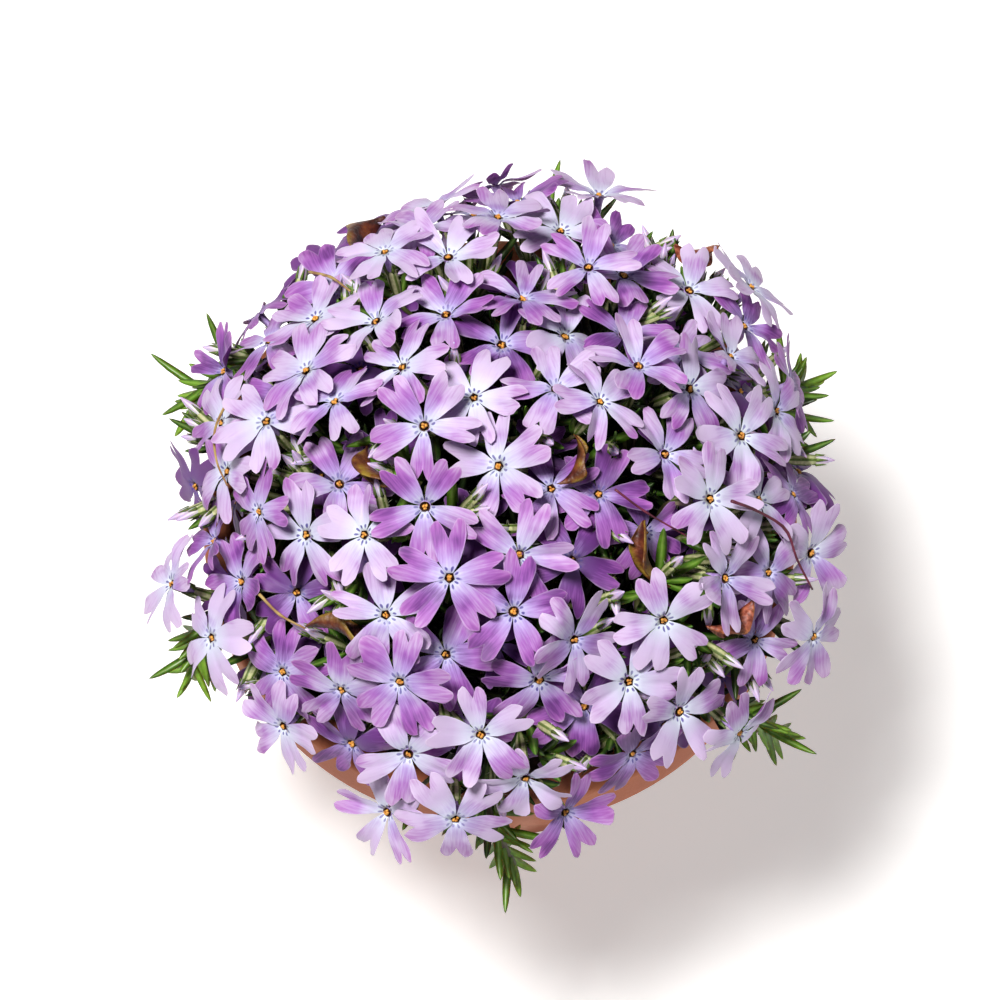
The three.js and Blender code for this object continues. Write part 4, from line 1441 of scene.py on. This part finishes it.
def build_dry_leaf(name, node, redness, rng):
    """A curled dry leaf: a trough bent into an arch, waved at its edges."""
    centre, (long_way, wide_way, normal), length, width = dry_leaf_frame(Welded(node).points)
    share = np.linspace(0, 1, DRY_LEAF_ROWS)[:, None]
    side = np.linspace(-1, 1, DRY_LEAF_COLUMNS)[None, :]
    swing = (share - 0.5) * DRY_LEAF_ARCH
    line = np.sin(swing) / math.sin(DRY_LEAF_ARCH / 2) * length / 2
    bow = (np.cos(swing) - math.cos(DRY_LEAF_ARCH / 2)) * length * 0.55
    across, lift = dry_leaf_section(share, side, width, rng)
    lift = lift - 0.2 * length

    def surface(height):
        return (
            centre
            + (line + 0 * side)[..., None] * long_way
            + across[..., None] * wide_way
            + (bow + height)[..., None] * normal
        )

    form = Form()
    form.sheet(
        surface(lift + DRY_LEAF_THICKNESS / 2),
        surface(lift - DRY_LEAF_THICKNESS / 2),
        DRY_LEAF,
        DRY_LEAF,
        tone=redness,
        along=share,
        across=np.abs(side) * 6,
        mark=smooth(np.abs(side), 1.0, 0.4),
    )
    return form.piece(name, "dry_leaf", node)


def build_dry_stalks(name, routes, material, crowd):
    """Fine stalks that rest on the blooms that they cross."""
    form = Form()
    for places, radius in routes:
        line = catmull_rom([np.array([x, y, 0.0]) for x, y in places], 16)
        share = np.linspace(0, 1, len(line))
        below = np.array([crowd.top_at(x, y) for x, y, _ in line])
        slope, level = np.polyfit(share, below, 1)
        rest = slope * share + level
        line[:, 2] = rest + (below - rest).max() * 0.7 + 1.0
        swollen = 1 + 0.35 * np.exp(-(((share - 0.5) / 0.05) ** 2))
        form.tube(rings_along(line, radius * swollen * (1 - 0.4 * share), 7), material, tone=0.3)
    return form.piece(name, "dry_leaf")


# Pot and soil
POT_SIDES = 128
POT_INNER_RADIUS = POT_RIM_RADIUS - POT_WALL - 1.6
CORNER_STEPS = 6
WALL_STEP = 4.0
SOIL_SIDES = 90
SOIL_RINGS = 34
SOIL_WALL_GAP = 0.8
SOIL_ROUGHNESS = 0.22
CRUMBS = 450
CRUMB_SIZES = (0.35, 1.1)
GRIT_SHARE = 0.06


def rounded(corners):
    """A closed outline through corners (radius, height, rounding), each with an arc."""
    outline = []
    count = len(corners)
    for k in range(count):
        before, here, after = [np.array(corners[(k + step) % count]) for step in (-1, 0, 1)]
        corner, rounding = here[:2], here[2]
        first = corner + unit((before - here)[:2]) * rounding
        last = corner + unit((after - here)[:2]) * rounding
        for t in np.linspace(0, 1, CORNER_STEPS):
            outline.append((1 - t) ** 2 * first + 2 * t * (1 - t) * corner + t * t * last)
        gap = (after[:2] + unit((here - after)[:2]) * after[2]) - last
        steps = int(np.linalg.norm(gap) // WALL_STEP)
        for step in range(1, steps):
            outline.append(last + gap * step / steps)
    return outline


def build_pot():
    """The pot as a smooth turned body with a rim band, a drain hole and soft corners."""
    body_top = POT_HEIGHT - POT_RIM_BAND
    slope = (POT_RIM_RADIUS - POT_RIM_OVERHANG - POT_FOOT_RADIUS) / POT_HEIGHT
    corners = [
        (DRAIN_RADIUS, 0.0, 0.3),
        (POT_FOOT_RADIUS - 0.8, 0.0, 1.2),
        (POT_FOOT_RADIUS + slope * body_top, body_top, 0.5),
        (POT_RIM_RADIUS - 0.4, body_top + 0.5, 1.0),
        (POT_RIM_RADIUS, POT_HEIGHT, 2.4),
        (POT_INNER_RADIUS + 0.9, POT_HEIGHT, 1.8),
        (POT_FOOT_RADIUS - POT_WALL, POT_FLOOR, 2.0),
        (DRAIN_RADIUS, POT_FLOOR, 0.3),
    ]
    form = Form()
    form.hoop(lathe(rounded(corners), POT_SIDES), TERRACOTTA)
    return form.piece("clay_pot", "terracotta", "pot")


def soil_height(x, y, inner):
    """The crowned, lumpy top of the soil inside a pot of an inner radius."""
    share = np.hypot(x, y) / inner
    lumps = np.sin(x * 0.31 + 1.3) * np.cos(y * 0.27 - 0.6) + np.sin(x * 0.11 - y * 0.17)
    return SOIL_LEVEL + SOIL_CROWN * (1 - share * share) + 0.9 * lumps * (1 - share**4)


def build_soil(rng):
    """Lumpy compost with loose crumbs and a few pale grains of grit."""
    foot = POT_FOOT_RADIUS - POT_WALL
    brim = POT_HEIGHT - 2
    inner = foot + (POT_INNER_RADIUS - foot) * (SOIL_LEVEL - POT_FLOOR) / (brim - POT_FLOOR)
    rim = inner - SOIL_WALL_GAP
    wall = [(foot - SOIL_WALL_GAP, POT_FLOOR + SEAT_GAP), (rim - 0.3, SOIL_LEVEL - 2)]
    top = lathe([(rim * share, 0.0) for share in np.linspace(1, 0.02, SOIL_RINGS)], SOIL_SIDES)
    top[..., 2] = soil_height(top[..., 0], top[..., 1], inner)
    top[..., 2] += rng.normal(0, SOIL_ROUGHNESS, top.shape[:2])
    form = Form()
    form.tube(np.concatenate([lathe(wall, SOIL_SIDES), top]), SOIL)
    for _ in range(CRUMBS):
        radius = rim * 0.97 * math.sqrt(rng.uniform())
        x, y, _ = outward_at(rng.uniform(0, FULL_TURN)) * radius
        size = rng.uniform(*CRUMB_SIZES)
        place = np.array([x, y, soil_height(x, y, inner) + size * 0.3])
        way = unit(rng.normal(0, 1, 3))
        grain(form, place, way, size, 1.3, GRIT if rng.uniform() < GRIT_SHARE else SOIL)
    return form.piece("potting_soil", "soil", "soil")


def build_plant():
    """The clusters with their shoots, the shoots over the rim, and what lies on the blooms."""
    names = sorted(node[len("blooms_") :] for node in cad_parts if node.startswith("blooms_"))
    clusters = {name: blooms_in(f"blooms_{name}") for name in names}
    stems = {name: Stem(f"shoot_{name}") for name in names}
    top_layer = Crowd([bloom for blooms in clusters.values() for bloom in blooms])
    shaded = shaded_blooms(stems, top_layer, np.random.default_rng(20))
    for name in names:
        clusters[name].extend(shaded[name])
    crowd = Crowd([bloom for blooms in clusters.values() for bloom in blooms])
    sprays = bud_sprays(stems, crowd, np.random.default_rng(21))
    for name, blooms in clusters.items():
        rng = np.random.default_rng(100 + int(name))
        shoot = f"shoot_{name}"
        build_blooms(f"open_blooms_{name}", f"blooms_{name}", blooms, crowd, rng)
        build_shoot(f"leafy_{shoot}", shoot, stems[name], blooms, sprays[name], crowd, rng)
    for node in sorted(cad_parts):
        number = node.split("_")[-1]
        if node.startswith("trailing_shoot_"):
            rng = np.random.default_rng(300 + int(number))
            build_trailing_shoot(f"rim_shoot_{number}", node, crowd, rng)
        if node.startswith("fallen_leaf_"):
            rng = np.random.default_rng(400 + int(number))
            redness = RUSTY_TONE if number in RUSTY_LEAVES else BROWN_TONE
            build_dry_leaf(f"curled_leaf_{number}", node, redness, rng)
    build_dry_stalks("straws", STRAWS, STRAW, crowd)
    build_dry_stalks("twigs", TWIGS, TWIG, crowd)


# Floor, light and camera, in metres
PIXELS_PER_MM = 5.95
CAMERA_ELEVATION = math.radians(72)
LENS = 150.0
SENSOR = 36.0
LOOK_AT = Vector((0.0, -0.008, 0.125))
FLOOR_HALF = 5.0
SKY_COLOUR = (0.93, 0.95, 1.0, 1.0)
SKY_STRENGTH = 0.04
KEY_LIGHT = dict(place=(-0.2, 0.0, 0.94), size=0.22, power=10.0, colour=(1.0, 0.99, 0.975))
FILL_LIGHT = dict(place=(0.5, -0.42, 0.66), size=0.4, power=0.85, colour=(0.98, 0.98, 1.0))


def build_floor():
    """A wide pale floor under the pot."""
    made, nodes, shader = material("pale_floor", 0.9, Emission_Color=(1, 1, 1, 1), Emission_Strength=0.4)
    colour = nodes.ramp(nodes.noise(3.0), (0.3, (242, 241, 240)), (0.7, (246, 246, 245)))
    nodes.link(colour, shader["Base Color"])
    mesh = bpy.data.meshes.new("floor")
    corners = [(x * FLOOR_HALF, y * FLOOR_HALF, 0) for x, y in ((-1, -1), (1, -1), (1, 1), (-1, 1))]
    mesh.from_pydata(corners, [], [(0, 1, 2, 3)])
    mesh.materials.append(made)
    floor = bpy.data.objects.new("floor", mesh)
    bpy.context.scene.collection.objects.link(floor)


def area_light(name, place, size, power, colour):
    """A round soft light that points at the plant."""
    light = bpy.data.lights.new(name, "AREA")
    light.shape = "DISK"
    light.size = size
    light.energy = power
    light.color = colour
    lamp = bpy.data.objects.new(name, light)
    lamp.location = place
    lamp.rotation_euler = (LOOK_AT - Vector(place)).to_track_quat("-Z", "Y").to_euler()
    bpy.context.scene.collection.objects.link(lamp)


def build_light():
    """A key light above on the left, a weak fill in front on the right, and a dim even sky."""
    world = bpy.data.worlds.new("studio")
    bpy.context.scene.world = world
    world.use_nodes = True
    background = world.node_tree.nodes["Background"].inputs
    background["Color"].default_value = SKY_COLOUR
    background["Strength"].default_value = SKY_STRENGTH
    area_light("key", **KEY_LIGHT)
    area_light("fill", **FILL_LIGHT)
    bpy.context.scene.view_settings.view_transform = "Standard"


def build_camera():
    """Looks down at the photo's angle, so that a millimetre of the plant has the photo's pixels."""
    camera = bpy.data.cameras.new("camera")
    camera.lens = LENS
    camera.sensor_width = SENSOR
    width = 1000 / PIXELS_PER_MM * MM
    distance = width * LENS / SENSOR
    thing = bpy.data.objects.new("camera", camera)
    back = Vector((0.0, -math.cos(CAMERA_ELEVATION), math.sin(CAMERA_ELEVATION)))
    thing.location = LOOK_AT + back * distance
    thing.rotation_euler = (-back).to_track_quat("-Z", "Y").to_euler()
    bpy.context.scene.collection.objects.link(thing)
    bpy.context.scene.camera = thing


build_camera()
build_light()
build_floor()
build_pot()
build_soil(np.random.default_rng(11))
build_plant()
